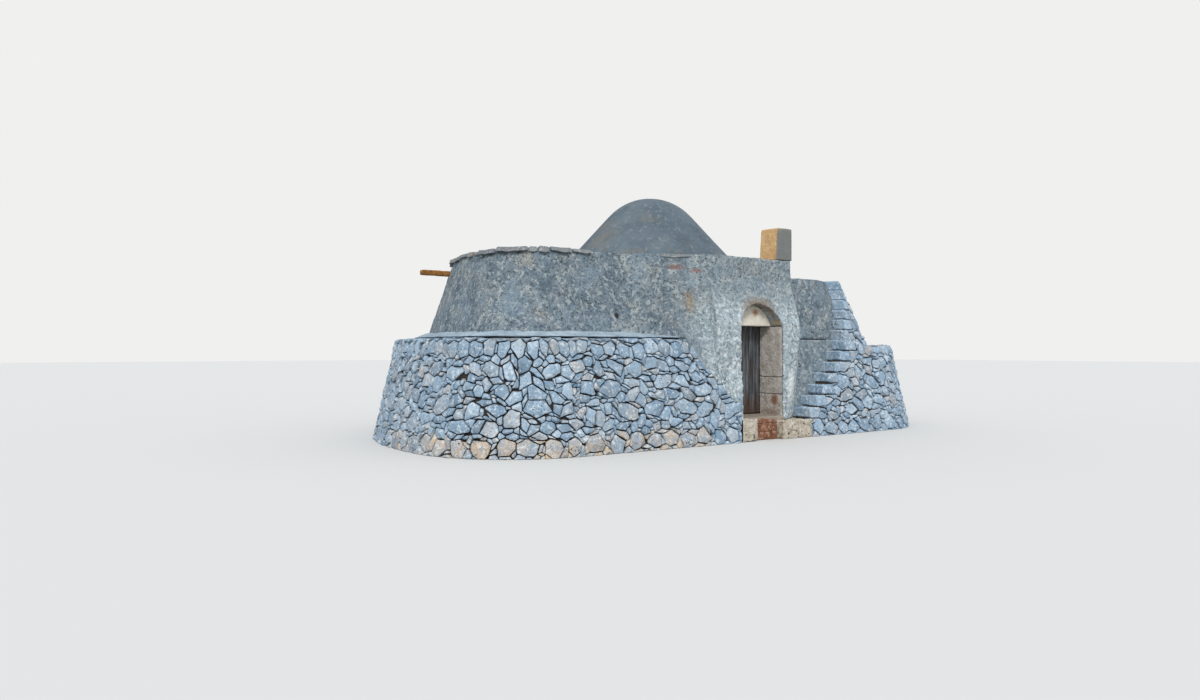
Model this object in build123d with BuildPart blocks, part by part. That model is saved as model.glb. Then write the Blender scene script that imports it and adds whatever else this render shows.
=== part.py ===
from build123d import *
import math
import os

os.makedirs("parts", exist_ok=True)

# The origin is on the ground under the centre of the dome, and the door faces -Y
foot_left = -6400
foot_right = 4900
foot_front = -3900
foot_back = 3950

# Heights above the ground
floor_top = 400
ledge_height = 1800
terrace_height = 3050
parapet_height = 230

# How far each tier leans in, and how wide the ledge between them is
skirt_lean = 400
ledge_width_front = 400
ledge_width_side = 500
wall_lean_front = 400
wall_lean_side = 450
parapet_thickness = 350

# Corner radii: front left, front right, back right, back left
foot_radii = (1800, 1800, 3600, 5400)
wall_radii = (1000, 1800, 2700, 4700)
rim_radii = (850, 1850, 2200, 4400)
corner_facets = 8

# Round room under the dome
room_radius = 1800
room_shoulder_radius = 1500
room_vault_rise = 1300
room_crown_radius = 700

# Dome
dome_foot_radius = 2150
dome_rise = 1790
dome_crown_radius = 1180
crown_bands = 6
vault_facets = 48

# Portal: a plastered bay, plumb to the head of the door, then leaning back
portal_left = -1500
portal_right = 650
portal_set_back = 280
portal_lean = 240
portal_knee_rise = 30
portal_shoulder_drop = 410
capping_thickness = 100

# The plaster swings out to meet the portal's left side
flare_length = 1400
flare_set_back_low = 190
flare_set_back_high = 40

# The right pier is splayed beside the steps
pier_splay_width = 350
pier_splay_depth = 190
pier_splay_top_share = 0.15

# Doorway
door_axis = -365
doorway_width = 1090
springing_height = 2040
arch_rise = 390
jamb_depth = 610
niche_depth = 310
passage_width = 1400
passage_headroom = 60

# Dressed stones of the right jamb
jamb_stone_cover = 60
jamb_joint_heights = (785, 1105)

# Threshold and foot stones, set back from the foot of the skirt
skirt_end_splay = 0.93
threshold_block_width = 390
threshold_block_set_back = 40
riser_stone_set_back = 140
riser_stone_length = 350
riser_stone_gap = 8
riser_drop_left = 25
riser_drop_right = 50
foot_course_height = 330
foot_block_left = -135
foot_block_set_back = 10

# First flight: steps let into the skirt beside the portal
step_count = 7
step_going = 235
first_riser_gap = 40
stair_width = 370

# Second flight: rough steps on the ledge round the right front corner
upper_step_count = 6
upper_stair_start = -90
upper_step_angle = 5
upper_stair_end = -30
upper_stair_width = 280

# Door leaf, ledgers, straps and pintles
leaf_width = 1280
leaf_thickness = 50
leaf_gap = 5
leaf_floor_gap = 15
leaf_head_gap = 20
ledger_height = 110
ledger_thickness = 25
ledger_margin = 30
ledger_heights = (780, 1240, 1700)
pin_radius = 9
pin_play = 1
pin_to_leaf = 22
pin_behind_leaf = 14
eye_radius = 17
strap_thickness = 6
strap_height = 50
strap_length = 520
pintle_height = 90
pintle_arm = 16

# Chimney shaft on the portal, a little past its right edge
chimney_overhang = 50
chimney_width = 420
chimney_depth = 450
chimney_set_back = 20
chimney_height = 610
chimney_lean = 30
flue_width = 230

# Stone rain spout bedded in the left wall just under the terrace
spout_width = 120
spout_depth = 100
spout_corner = 25
spout_channel_width = 60
spout_channel_depth = 45
spout_reach = 580
spout_bedding = 250
spout_drop = 10

# Mortar fillet on the ledge at the foot of the upper wall
fillet_reach = 300
fillet_height = 110

# Length of the skirt's left piece
skirt_left_length = 3000

far = 20000
wall_overlap = 100
parapet_top = terrace_height + parapet_height
wall_front = foot_front + skirt_lean + ledge_width_front
portal_front = foot_front + portal_set_back
portal_top_front = portal_front + portal_lean
jamb_back = portal_front + jamb_depth
passage_height = springing_height + passage_headroom
doorway_left = door_axis - doorway_width / 2
doorway_right = door_axis + doorway_width / 2
passage_left = door_axis - passage_width / 2
passage_right = door_axis + passage_width / 2
step_rise = (ledge_height - foot_course_height) / step_count
stair_start = portal_right + first_riser_gap
stair_end = stair_start + step_count * step_going


def save(piece, name):
    piece.part.label = name
    export_step(piece.part, f"parts/{name}.step")


def block(left, right, front, back, low, high):
    with BuildPart() as piece:
        with BuildSketch(Plane.XY.offset(low)):
            with Locations(((left + right) / 2, (front + back) / 2)):
                Rectangle(right - left, back - front)
        extrude(amount=high - low)
    return piece.part


def wall_level(height):
    # Left, right, front and back faces of the upper wall at one height, and its corner radii
    share = (height - ledge_height) / (parapet_top - ledge_height)
    side = skirt_lean + ledge_width_side + share * wall_lean_side
    front = wall_front + share * wall_lean_front
    radii = [low + share * (high - low) for low, high in zip(wall_radii, rim_radii)]
    return foot_left + side, foot_right - side, front, foot_back - side, radii


def grown(level, amount):
    left, right, front, back, radii = level
    radii = [radius + amount for radius in radii]
    return left - amount, right + amount, front - amount, back + amount, radii


def outline(level):
    # Corners are cut in flat facets whose bearings are the same at every height
    left, right, front, back, radii = level
    back_left_radius = min(radii[3], back - front - radii[0])
    points = []
    for x, y, side_x, side_y, radius, start in (
        (left, front, 1, 1, radii[0], 180),
        (right, front, -1, 1, radii[1], 270),
        (right, back, -1, -1, radii[2], 0),
        (left, back, 1, -1, back_left_radius, 90),
    ):
        for k in range(corner_facets + 1):
            bearing = math.radians(start + 90 * k / corner_facets)
            points.append(
                (x + radius * (side_x + math.cos(bearing)), y + radius * (side_y + math.sin(bearing)))
            )
    return points


def leaning(level, low, high, lean):
    # A mass whose flat sides all lean in by the same amount
    with BuildPart() as piece:
        with BuildSketch(Plane.XY.offset(low)):
            with BuildLine():
                Polyline(*outline(level), close=True)
            make_face()
        extrude(amount=high - low, taper=math.degrees(math.atan2(lean, high - low)))
    return piece.part


def battered(low, low_level, high, high_level):
    # A mass whose sides run straight from one plan to another
    with BuildPart() as piece:
        for height, level in ((low, low_level), (high, high_level)):
            with BuildSketch(Plane.XY.offset(height)):
                with BuildLine():
                    Polyline(*outline(level), close=True)
                make_face()
        loft(ruled=True)
    return piece.part


def wedge(start, end, low, high, middle=(0, 0)):
    # A slice of plan between two bearings, in degrees
    middle_x, middle_y = middle
    rays = [math.radians(start + (end - start) * share) for share in (0, 0.5, 1)]
    corners = [middle] + [
        (middle_x + far * math.cos(ray), middle_y + far * math.sin(ray)) for ray in rays
    ]
    with BuildPart() as piece:
        with BuildSketch(Plane.XY.offset(low)):
            with BuildLine():
                Polyline(*corners, close=True)
            make_face()
        extrude(amount=high - low)
    return piece.part


def vault(foot_radius, foot_height, rise, crown_radius):
    # A cone that runs tangent into a round crown, laid in level bands up to a small flat
    crown_drop = rise - crown_radius
    to_centre = math.hypot(foot_radius, crown_drop)
    slope = math.atan2(crown_drop, foot_radius) + math.asin(crown_radius / to_centre)
    rings = [(foot_radius, foot_height)]
    for k in range(crown_bands):
        angle = slope * (1 - k / crown_bands)
        height = foot_height + crown_drop + crown_radius * math.cos(angle)
        rings.append((crown_radius * math.sin(angle), height))
    with BuildPart() as piece:
        for (low_radius, low), (high_radius, high) in zip(rings, rings[1:]):
            with BuildSketch(Plane.XY.offset(low)):
                RegularPolygon(low_radius, vault_facets, major_radius=False)
            lean = math.degrees(math.atan2(low_radius - high_radius, high - low))
            extrude(amount=high - low, taper=lean)
    return piece.part


# Whole masses that the pieces are cut from
foot_level = (foot_left, foot_right, foot_front, foot_back, foot_radii)
wall_foot = wall_level(ledge_height)
rim_level = wall_level(parapet_top)
skirt_mass = leaning(foot_level, 0, ledge_height, skirt_lean)
core_mass = leaning(wall_foot, 0, ledge_height, 0)
with BuildPart() as flare:
    for height, front, set_back in (
        (ledge_height, portal_front, flare_set_back_low),
        (parapet_top, portal_top_front, flare_set_back_high),
    ):
        face_y = wall_level(height)[2]
        with BuildSketch(Plane.XY.offset(height)):
            with BuildLine():
                Polyline(
                    (portal_left - flare_length, face_y),
                    (portal_left, front + set_back),
                    (portal_left, face_y + wall_overlap),
                    (portal_left - flare_length, face_y + wall_overlap),
                    close=True,
                )
            make_face()
    loft(ruled=True)
with BuildPart() as upper_solid:
    add(battered(ledge_height, wall_foot, parapet_top, rim_level))
    add(flare.part)
upper_mass = upper_solid.part
with BuildPart() as room_lower:
    with BuildSketch():
        Circle(room_radius)
    extrude(amount=ledge_height)
with BuildPart() as room_upper:
    with BuildSketch(Plane.XY.offset(ledge_height)):
        Circle(room_radius)
    with BuildSketch(Plane.XY.offset(terrace_height)):
        Circle(room_shoulder_radius)
    loft()
passage_space = block(passage_left, passage_right, -far, 0, 0, passage_height)
door_recess = block(passage_left, passage_right, jamb_back, far, 0, passage_height)
with BuildPart() as core_walls:
    add(core_mass)
    add(passage_space, mode=Mode.SUBTRACT)
with BuildPart() as walls_over_ledge:
    add(upper_mass)
    add(passage_space, mode=Mode.SUBTRACT)
with BuildPart() as pier_splay:
    for height, share in ((foot_course_height, 1), (ledge_height, pier_splay_top_share)):
        with BuildSketch(Plane.XY.offset(height)):
            with BuildLine():
                Polyline(
                    (portal_right, portal_front),
                    (portal_right, portal_front + share * pier_splay_depth),
                    (portal_right - share * pier_splay_width, portal_front),
                    close=True,
                )
            make_face()
    loft(ruled=True)
with BuildPart() as portal_solid:
    with BuildSketch(Plane.YZ.offset(portal_left)):
        with BuildLine():
            Polyline(
                (portal_front, 0),
                (portal_front, springing_height + portal_knee_rise),
                (portal_top_front, parapet_top - portal_shoulder_drop),
                (portal_top_front, parapet_top),
                (0, parapet_top),
                (0, 0),
                close=True,
            )
        make_face()
    extrude(amount=portal_right - portal_left)
    add(core_walls.part, mode=Mode.SUBTRACT)
    add(walls_over_ledge.part, mode=Mode.SUBTRACT)
    add(door_recess, mode=Mode.SUBTRACT)
    add(pier_splay.part, mode=Mode.SUBTRACT)
portal_mass = portal_solid.part

# Beside the doorway the skirt ends on a splay, out to its face
with BuildPart() as skirt_end:
    with BuildSketch():
        with BuildLine():
            Polyline(
                (doorway_left, portal_front),
                (doorway_left + skirt_end_splay * (2 * foot_front - portal_front), 2 * foot_front),
                (doorway_right, 2 * foot_front),
                (doorway_right, portal_front),
                close=True,
            )
        make_face()
    extrude(amount=ledge_height)

# Dry stone skirt round the lower storey
skirt_split = foot_left + skirt_left_length
skirt_sides = {
    "skirt_front_left": block(skirt_split, doorway_left, -far, 0, 0, ledge_height),
    "skirt_left": block(-far, skirt_split, -far, far, 0, ledge_height),
    "skirt_back": block(skirt_split, stair_end, 0, far, 0, ledge_height),
    "skirt_right": block(stair_end, far, -far, far, 0, ledge_height),
}
for name, side in skirt_sides.items():
    with BuildPart() as skirt_side:
        add(skirt_mass)
        add(core_mass, mode=Mode.SUBTRACT)
        add(side, mode=Mode.INTERSECT)
        if name == "skirt_front_left":
            add(portal_mass, mode=Mode.SUBTRACT)
            add(skirt_end.part, mode=Mode.SUBTRACT)
    save(skirt_side, name)

# Plastered wall behind the first flight, parallel to the skirt's face
with BuildPart() as stair_backing:
    with BuildSketch(Plane.YZ.offset(portal_right)):
        with BuildLine():
            Polyline(
                (foot_front + stair_width, 0),
                (foot_front + stair_width + skirt_lean, ledge_height),
                (0, ledge_height),
                (0, 0),
                close=True,
            )
        make_face()
    extrude(amount=stair_end - portal_right)
with BuildPart() as stair_inner_wall:
    add(stair_backing.part)
    add(core_mass, mode=Mode.SUBTRACT)
    add(block(-far, far, -far, far, 0, foot_course_height), mode=Mode.SUBTRACT)
save(stair_inner_wall, "stair_inner_wall")

# Foot course under the first flight, then its steps
with BuildPart() as stair_foot_course:
    add(skirt_mass)
    add(block(portal_right, stair_end, -far, 0, 0, foot_course_height), mode=Mode.INTERSECT)
    add(core_mass, mode=Mode.SUBTRACT)
save(stair_foot_course, "stair_foot_course")
for k in range(step_count):
    low = foot_course_height + k * step_rise
    with BuildPart() as step:
        add(skirt_mass)
        add(
            block(stair_start + k * step_going, stair_end, -far, 0, low, low + step_rise),
            mode=Mode.INTERSECT,
        )
        add(stair_backing.part, mode=Mode.SUBTRACT)
    save(step, f"step_{k + 1}")

# Inner wall round the room, lower storey
lower_walls = {
    "lower_wall_right": (-45, 45),
    "lower_wall_back": (45, 135),
    "lower_wall_left": (135, 225),
    "lower_wall_front_left": (225, 270),
    "lower_wall_front_right": (270, 315),
}
for name, (start, end) in lower_walls.items():
    with BuildPart() as wall:
        add(core_walls.part)
        add(wedge(start, end, 0, ledge_height), mode=Mode.INTERSECT)
        add(room_lower.part, mode=Mode.SUBTRACT)
    save(wall, name)

# Rain spout, bedded in the rounded left wall, with its channel open outside
spout_top = terrace_height - spout_drop
left, right, front, back, radii = wall_level(spout_top)
spout_face = left + radii[3] - math.sqrt(radii[3] ** 2 - (back - radii[3]) ** 2)
spout_tip = Plane(
    origin=(spout_face - spout_reach, 0, spout_top - spout_depth / 2), x_dir=(0, 1, 0), z_dir=(1, 0, 0)
)
with BuildPart() as spout_bar:
    with BuildSketch(spout_tip):
        RectangleRounded(spout_width, spout_depth, spout_corner)
    extrude(amount=spout_reach + spout_bedding)
with BuildPart() as rain_spout:
    add(spout_bar.part)
    with BuildSketch(spout_tip):
        with Locations((0, spout_depth / 2)):
            Rectangle(spout_channel_width, 2 * spout_channel_depth)
    extrude(amount=spout_reach, mode=Mode.SUBTRACT)
save(rain_spout, "rain_spout")

# Upper wall, which leans back to the roof terrace
upper_walls = {
    "upper_wall_right": (-45, 45),
    "upper_wall_back": (45, 135),
    "upper_wall_left": (135, 225),
    "upper_wall_front_left": (225, 270),
    "upper_wall_front_right": (270, 315),
}
over_passage = block(passage_left, passage_right, -far, 0, ledge_height, terrace_height)
for name, (start, end) in upper_walls.items():
    with BuildPart() as wall:
        add(upper_mass)
        add(wedge(start, end, ledge_height, terrace_height), mode=Mode.INTERSECT)
        add(room_upper.part, mode=Mode.SUBTRACT)
        add(over_passage, mode=Mode.SUBTRACT)
        add(spout_bar.part, mode=Mode.SUBTRACT)
    save(wall, name)
with BuildPart() as passage_roof:
    add(walls_over_ledge.part)
    add(over_passage, mode=Mode.INTERSECT)
    add(room_upper.part, mode=Mode.SUBTRACT)
save(passage_roof, "passage_roof")

# Parapet on the front, left and back of the terrace
terrace_plan = grown(rim_level, -parapet_thickness)
with BuildPart() as parapet_ring:
    add(upper_mass)
    add(block(-far, far, -far, far, terrace_height, parapet_top), mode=Mode.INTERSECT)
    add(leaning(terrace_plan, terrace_height, parapet_top, 0), mode=Mode.SUBTRACT)
parapet_left_end = rim_level[0] + rim_radii[0]
parapets = {
    "parapet_front": block(parapet_left_end, portal_right, -far, 0, 0, parapet_top),
    "parapet_left": block(-far, parapet_left_end, -far, far, 0, parapet_top),
    "parapet_back": block(parapet_left_end, room_radius, 0, far, 0, parapet_top),
}
for name, side in parapets.items():
    with BuildPart() as parapet:
        add(parapet_ring.part)
        add(side, mode=Mode.INTERSECT)
    save(parapet, name)

# Dome
with BuildPart() as dome:
    add(vault(dome_foot_radius, terrace_height, dome_rise, dome_crown_radius))
    add(
        vault(room_shoulder_radius, terrace_height, room_vault_rise, room_crown_radius),
        mode=Mode.SUBTRACT,
    )
save(dome, "dome")

# Room floor and passage floor
with BuildPart() as stone_floor:
    with BuildSketch():
        Circle(room_radius)
        with Locations((door_axis, jamb_back / 2)):
            Rectangle(passage_width, -jamb_back)
    extrude(amount=floor_top)
save(stone_floor, "stone_floor")

# Doorway head, arched at the top
with BuildPart() as arch_space:
    with BuildSketch(Plane.XZ.offset(-jamb_back)):
        with BuildLine():
            Line((doorway_left, springing_height), (doorway_right, springing_height))
            ThreePointArc(
                (doorway_right, springing_height),
                (door_axis, springing_height + arch_rise),
                (doorway_left, springing_height),
            )
        make_face()
    extrude(amount=far)

# Portal
jamb_stone_front = portal_front + jamb_stone_cover
with BuildPart() as portal_left_pier:
    add(portal_mass)
    add(block(-far, doorway_left, -far, far, 0, springing_height), mode=Mode.INTERSECT)
save(portal_left_pier, "portal_left_pier")
with BuildPart() as portal_right_pier:
    add(portal_mass)
    add(
        block(doorway_right, far, -far, far, foot_course_height, springing_height),
        mode=Mode.INTERSECT,
    )
    add(
        block(doorway_right, passage_right, jamb_stone_front, far, 0, springing_height),
        mode=Mode.SUBTRACT,
    )
save(portal_right_pier, "portal_right_pier")
with BuildPart() as portal_head:
    add(portal_mass)
    add(
        block(-far, far, -far, far, springing_height, parapet_top - capping_thickness),
        mode=Mode.INTERSECT,
    )
    add(arch_space.part, mode=Mode.SUBTRACT)
save(portal_head, "portal_head")
with BuildPart() as portal_capping:
    add(portal_mass)
    add(
        block(-far, far, -far, far, parapet_top - capping_thickness, parapet_top),
        mode=Mode.INTERSECT,
    )
save(portal_capping, "portal_capping")
with BuildPart() as arch_stone:
    add(arch_space.part)
    add(
        block(-far, far, portal_front + niche_depth, jamb_back, 0, parapet_top),
        mode=Mode.INTERSECT,
    )
    add(walls_over_ledge.part, mode=Mode.SUBTRACT)
save(arch_stone, "arch_stone")

# Dressed stones of the right jamb, bottom to top
jamb_levels = (foot_course_height, *jamb_joint_heights, springing_height)
for k in range(len(jamb_levels) - 1):
    with BuildPart() as jamb_stone:
        add(
            block(
                doorway_right, passage_right, jamb_stone_front, jamb_back,
                jamb_levels[k], jamb_levels[k + 1],
            )
        )
    save(jamb_stone, f"jamb_stone_{k + 1}")

# Threshold: slab, porous block, red riser stones and foot block
with BuildPart() as threshold_slab:
    add(block(doorway_left, doorway_right, portal_front, jamb_back, 0, floor_top))
save(threshold_slab, "threshold_slab")
porous_front = foot_front + threshold_block_set_back
porous_left = doorway_left - skirt_end_splay * (portal_front - porous_front)
porous_right = porous_left + threshold_block_width
with BuildPart() as threshold_block:
    with BuildSketch():
        with BuildLine():
            Polyline(
                (doorway_left, portal_front),
                (porous_left, porous_front),
                (porous_right, porous_front),
                (porous_right, portal_front),
                close=True,
            )
        make_face()
    extrude(amount=floor_top)
save(threshold_block, "threshold_block")
half_gap = riser_stone_gap / 2
riser_left = porous_right + riser_stone_gap
riser_middle = riser_left + riser_stone_length
riser_right = foot_block_left - riser_stone_gap
riser_bays = (
    (riser_left, riser_middle, 0, floor_top / 2 - half_gap),
    (riser_left, riser_middle, floor_top / 2 + half_gap, floor_top - riser_drop_left),
    (riser_middle + riser_stone_gap, riser_right, 0, floor_top - riser_drop_right),
)
with BuildPart() as riser_stones:
    for left, right, low, high in riser_bays:
        add(block(left, right, foot_front + riser_stone_set_back, portal_front, low, high))
save(riser_stones, "riser_stones")
with BuildPart() as foot_block:
    add(
        block(
            foot_block_left, portal_right, foot_front + foot_block_set_back, portal_front,
            0, foot_course_height,
        )
    )
    add(block(doorway_right, portal_right, portal_front, jamb_back, 0, foot_course_height))
    add(core_walls.part, mode=Mode.SUBTRACT)
save(foot_block, "foot_block")

# Second flight, up the right front corner from the ledge to the terrace
corner = (wall_foot[1] - wall_radii[1], wall_foot[2] + wall_radii[1])
stair_mass = battered(
    ledge_height, grown(wall_foot, upper_stair_width),
    parapet_top, grown(rim_level, upper_stair_width),
)
upper_rise = (terrace_height - ledge_height) / upper_step_count
with BuildPart() as upper_steps:
    for k in range(upper_step_count):
        start = upper_stair_start + k * upper_step_angle
        low = ledge_height + k * upper_rise
        add(wedge(start, upper_stair_end, low, low + upper_rise, corner))
    add(stair_mass, mode=Mode.INTERSECT)
    add(upper_mass, mode=Mode.SUBTRACT)
save(upper_steps, "upper_steps")

# Mortar fillet that sheds rain off the ledge
fillet_top = ledge_height + fillet_height
with BuildPart() as ledge_fillet:
    add(battered(ledge_height, grown(wall_foot, fillet_reach), fillet_top, wall_level(fillet_top)))
    add(upper_mass, mode=Mode.SUBTRACT)
    add(portal_mass, mode=Mode.SUBTRACT)
    add(block(door_axis, stair_end, -far, 0, 0, parapet_top), mode=Mode.SUBTRACT)
    add(
        wedge(upper_stair_start, upper_stair_end, ledge_height, parapet_top, corner),
        mode=Mode.SUBTRACT,
    )
save(ledge_fillet, "ledge_fillet")

# Chimney shaft with its flue
chimney_x = portal_right + chimney_overhang - chimney_width / 2
chimney_y = portal_top_front + chimney_set_back + chimney_depth / 2
chimney_top = parapet_top + chimney_height
with BuildPart() as chimney:
    with BuildSketch(Plane.XY.offset(parapet_top)):
        with Locations((chimney_x, chimney_y)):
            Rectangle(chimney_width, chimney_depth)
    with BuildSketch(Plane.XY.offset(chimney_top)):
        with Locations((chimney_x + chimney_lean, chimney_y)):
            Rectangle(chimney_width - chimney_lean, chimney_depth - chimney_lean)
    loft(ruled=True)
    with BuildSketch(Plane.XY.offset(parapet_top)):
        with Locations((chimney_x + chimney_lean / 2, chimney_y)):
            Rectangle(flue_width, flue_width)
    extrude(amount=chimney_height, mode=Mode.SUBTRACT)
save(chimney, "chimney")

# Plank door leaf
leaf_left = door_axis - leaf_width / 2
leaf_right = door_axis + leaf_width / 2
leaf_front = jamb_back + leaf_gap
leaf_back = leaf_front + leaf_thickness
with BuildPart() as door_leaf:
    add(
        block(
            leaf_left, leaf_right, leaf_front, leaf_back,
            floor_top + leaf_floor_gap, passage_height - leaf_head_gap,
        )
    )
save(door_leaf, "door_leaf")

# Three ledgers across its back
ledger_back = leaf_back + ledger_thickness
with BuildPart() as door_ledgers:
    for height in ledger_heights:
        add(
            block(
                leaf_left + ledger_margin, leaf_right - ledger_margin, leaf_back, ledger_back,
                height - ledger_height / 2, height + ledger_height / 2,
            )
        )
save(door_ledgers, "door_ledgers")

# Iron straps on the outer ledgers, whose eyes turn on the pintles
pin_x = leaf_left - pin_to_leaf
pin_y = leaf_back + pin_behind_leaf
strap_back = ledger_back + strap_thickness
strap_heights = (ledger_heights[0], ledger_heights[-1])
with BuildPart() as door_straps:
    for height in strap_heights:
        low = height - strap_height / 2
        add(block(pin_x, leaf_left + strap_length, ledger_back, strap_back, low, low + strap_height))
        with BuildSketch(Plane.XY.offset(low)):
            with Locations((pin_x, pin_y)):
                Circle(eye_radius)
        extrude(amount=strap_height)
        with BuildSketch(Plane.XY.offset(low)):
            with Locations((pin_x, pin_y)):
                Circle(pin_radius + pin_play)
        extrude(amount=strap_height, mode=Mode.SUBTRACT)
save(door_straps, "door_straps")
with BuildPart() as door_pintles:
    for height in strap_heights:
        low = height - strap_height / 2 - pintle_arm - leaf_gap
        with BuildSketch(Plane.XY.offset(low)):
            with Locations((pin_x, pin_y)):
                Circle(pin_radius)
        extrude(amount=pintle_height)
        add(block(passage_left, pin_x, pin_y - pin_radius, pin_y + pin_radius, low, low + pintle_arm))
save(door_pintles, "door_pintles")
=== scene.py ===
import bpy
import math
import random
import numpy as np
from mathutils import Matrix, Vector, geometry, noise
from mathutils.bvhtree import BVHTree


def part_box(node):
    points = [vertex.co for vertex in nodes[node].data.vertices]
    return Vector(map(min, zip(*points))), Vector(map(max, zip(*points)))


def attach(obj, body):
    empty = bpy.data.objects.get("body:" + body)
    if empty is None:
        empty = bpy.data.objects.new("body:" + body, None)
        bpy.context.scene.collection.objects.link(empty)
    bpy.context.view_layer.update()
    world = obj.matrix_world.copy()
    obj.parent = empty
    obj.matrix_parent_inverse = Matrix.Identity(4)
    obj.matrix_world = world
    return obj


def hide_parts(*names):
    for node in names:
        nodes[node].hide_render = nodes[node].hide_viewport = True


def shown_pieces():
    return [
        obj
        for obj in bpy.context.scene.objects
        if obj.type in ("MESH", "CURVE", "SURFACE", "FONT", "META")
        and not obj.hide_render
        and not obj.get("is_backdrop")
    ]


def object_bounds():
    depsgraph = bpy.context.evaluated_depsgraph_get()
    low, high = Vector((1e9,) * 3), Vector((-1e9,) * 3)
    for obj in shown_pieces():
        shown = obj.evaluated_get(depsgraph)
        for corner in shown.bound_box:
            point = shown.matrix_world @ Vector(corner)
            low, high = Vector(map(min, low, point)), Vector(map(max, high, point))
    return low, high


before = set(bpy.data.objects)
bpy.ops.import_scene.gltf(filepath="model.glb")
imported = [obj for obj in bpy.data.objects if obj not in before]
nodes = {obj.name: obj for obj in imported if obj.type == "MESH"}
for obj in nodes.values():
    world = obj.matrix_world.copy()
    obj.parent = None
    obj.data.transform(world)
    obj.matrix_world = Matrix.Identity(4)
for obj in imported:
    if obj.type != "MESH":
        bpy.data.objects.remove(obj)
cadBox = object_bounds()
boxLow, boxHigh = (np.array(corner) for corner in cadBox)
scene = bpy.context.scene
print("frame loaded", len(nodes))


# materials

def linear(code):
    # an sRGB hex colour as the shader's linear one
    parts = [int(code[i:i + 2], 16) / 255 for i in (1, 3, 5)]
    return [p / 12.92 if p <= 0.04045 else ((p + 0.055) / 1.055) ** 2.4 for p in parts] + [1]


def add(tree, kind, inputs=None, out=0, **settings):
    # adds one node with its values and links, and gives back one of its outputs
    made = tree.nodes.new("ShaderNode" + kind)
    for key, value in settings.items():
        setattr(made, key, value)
    for socket, value in (inputs or {}).items():
        if isinstance(value, bpy.types.NodeSocket):
            tree.links.new(value, made.inputs[socket])
        else:
            made.inputs[socket].default_value = value
    return made.outputs[out]


# what a recipe's rows say: sizes and depths of noise in mm, places and widths in m, the rest as shares
rowNames = {
    "mottle": "mm spread upright attribute share",
    "patches": "mm from soft strength colour shift attribute upright",
    "spots": "at size soft strength colour ragged shake",
    "cracks": "low high yLow yHigh sway wander width strength",
    "grain": "mm contrast depth middle middleDepth upright",
    "pits": "mm zone cover size dark depth attribute",
}


def named(part, row):
    # a row's values under their names; a row may end early
    return dict(zip(rowNames[part].split(), row))


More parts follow.
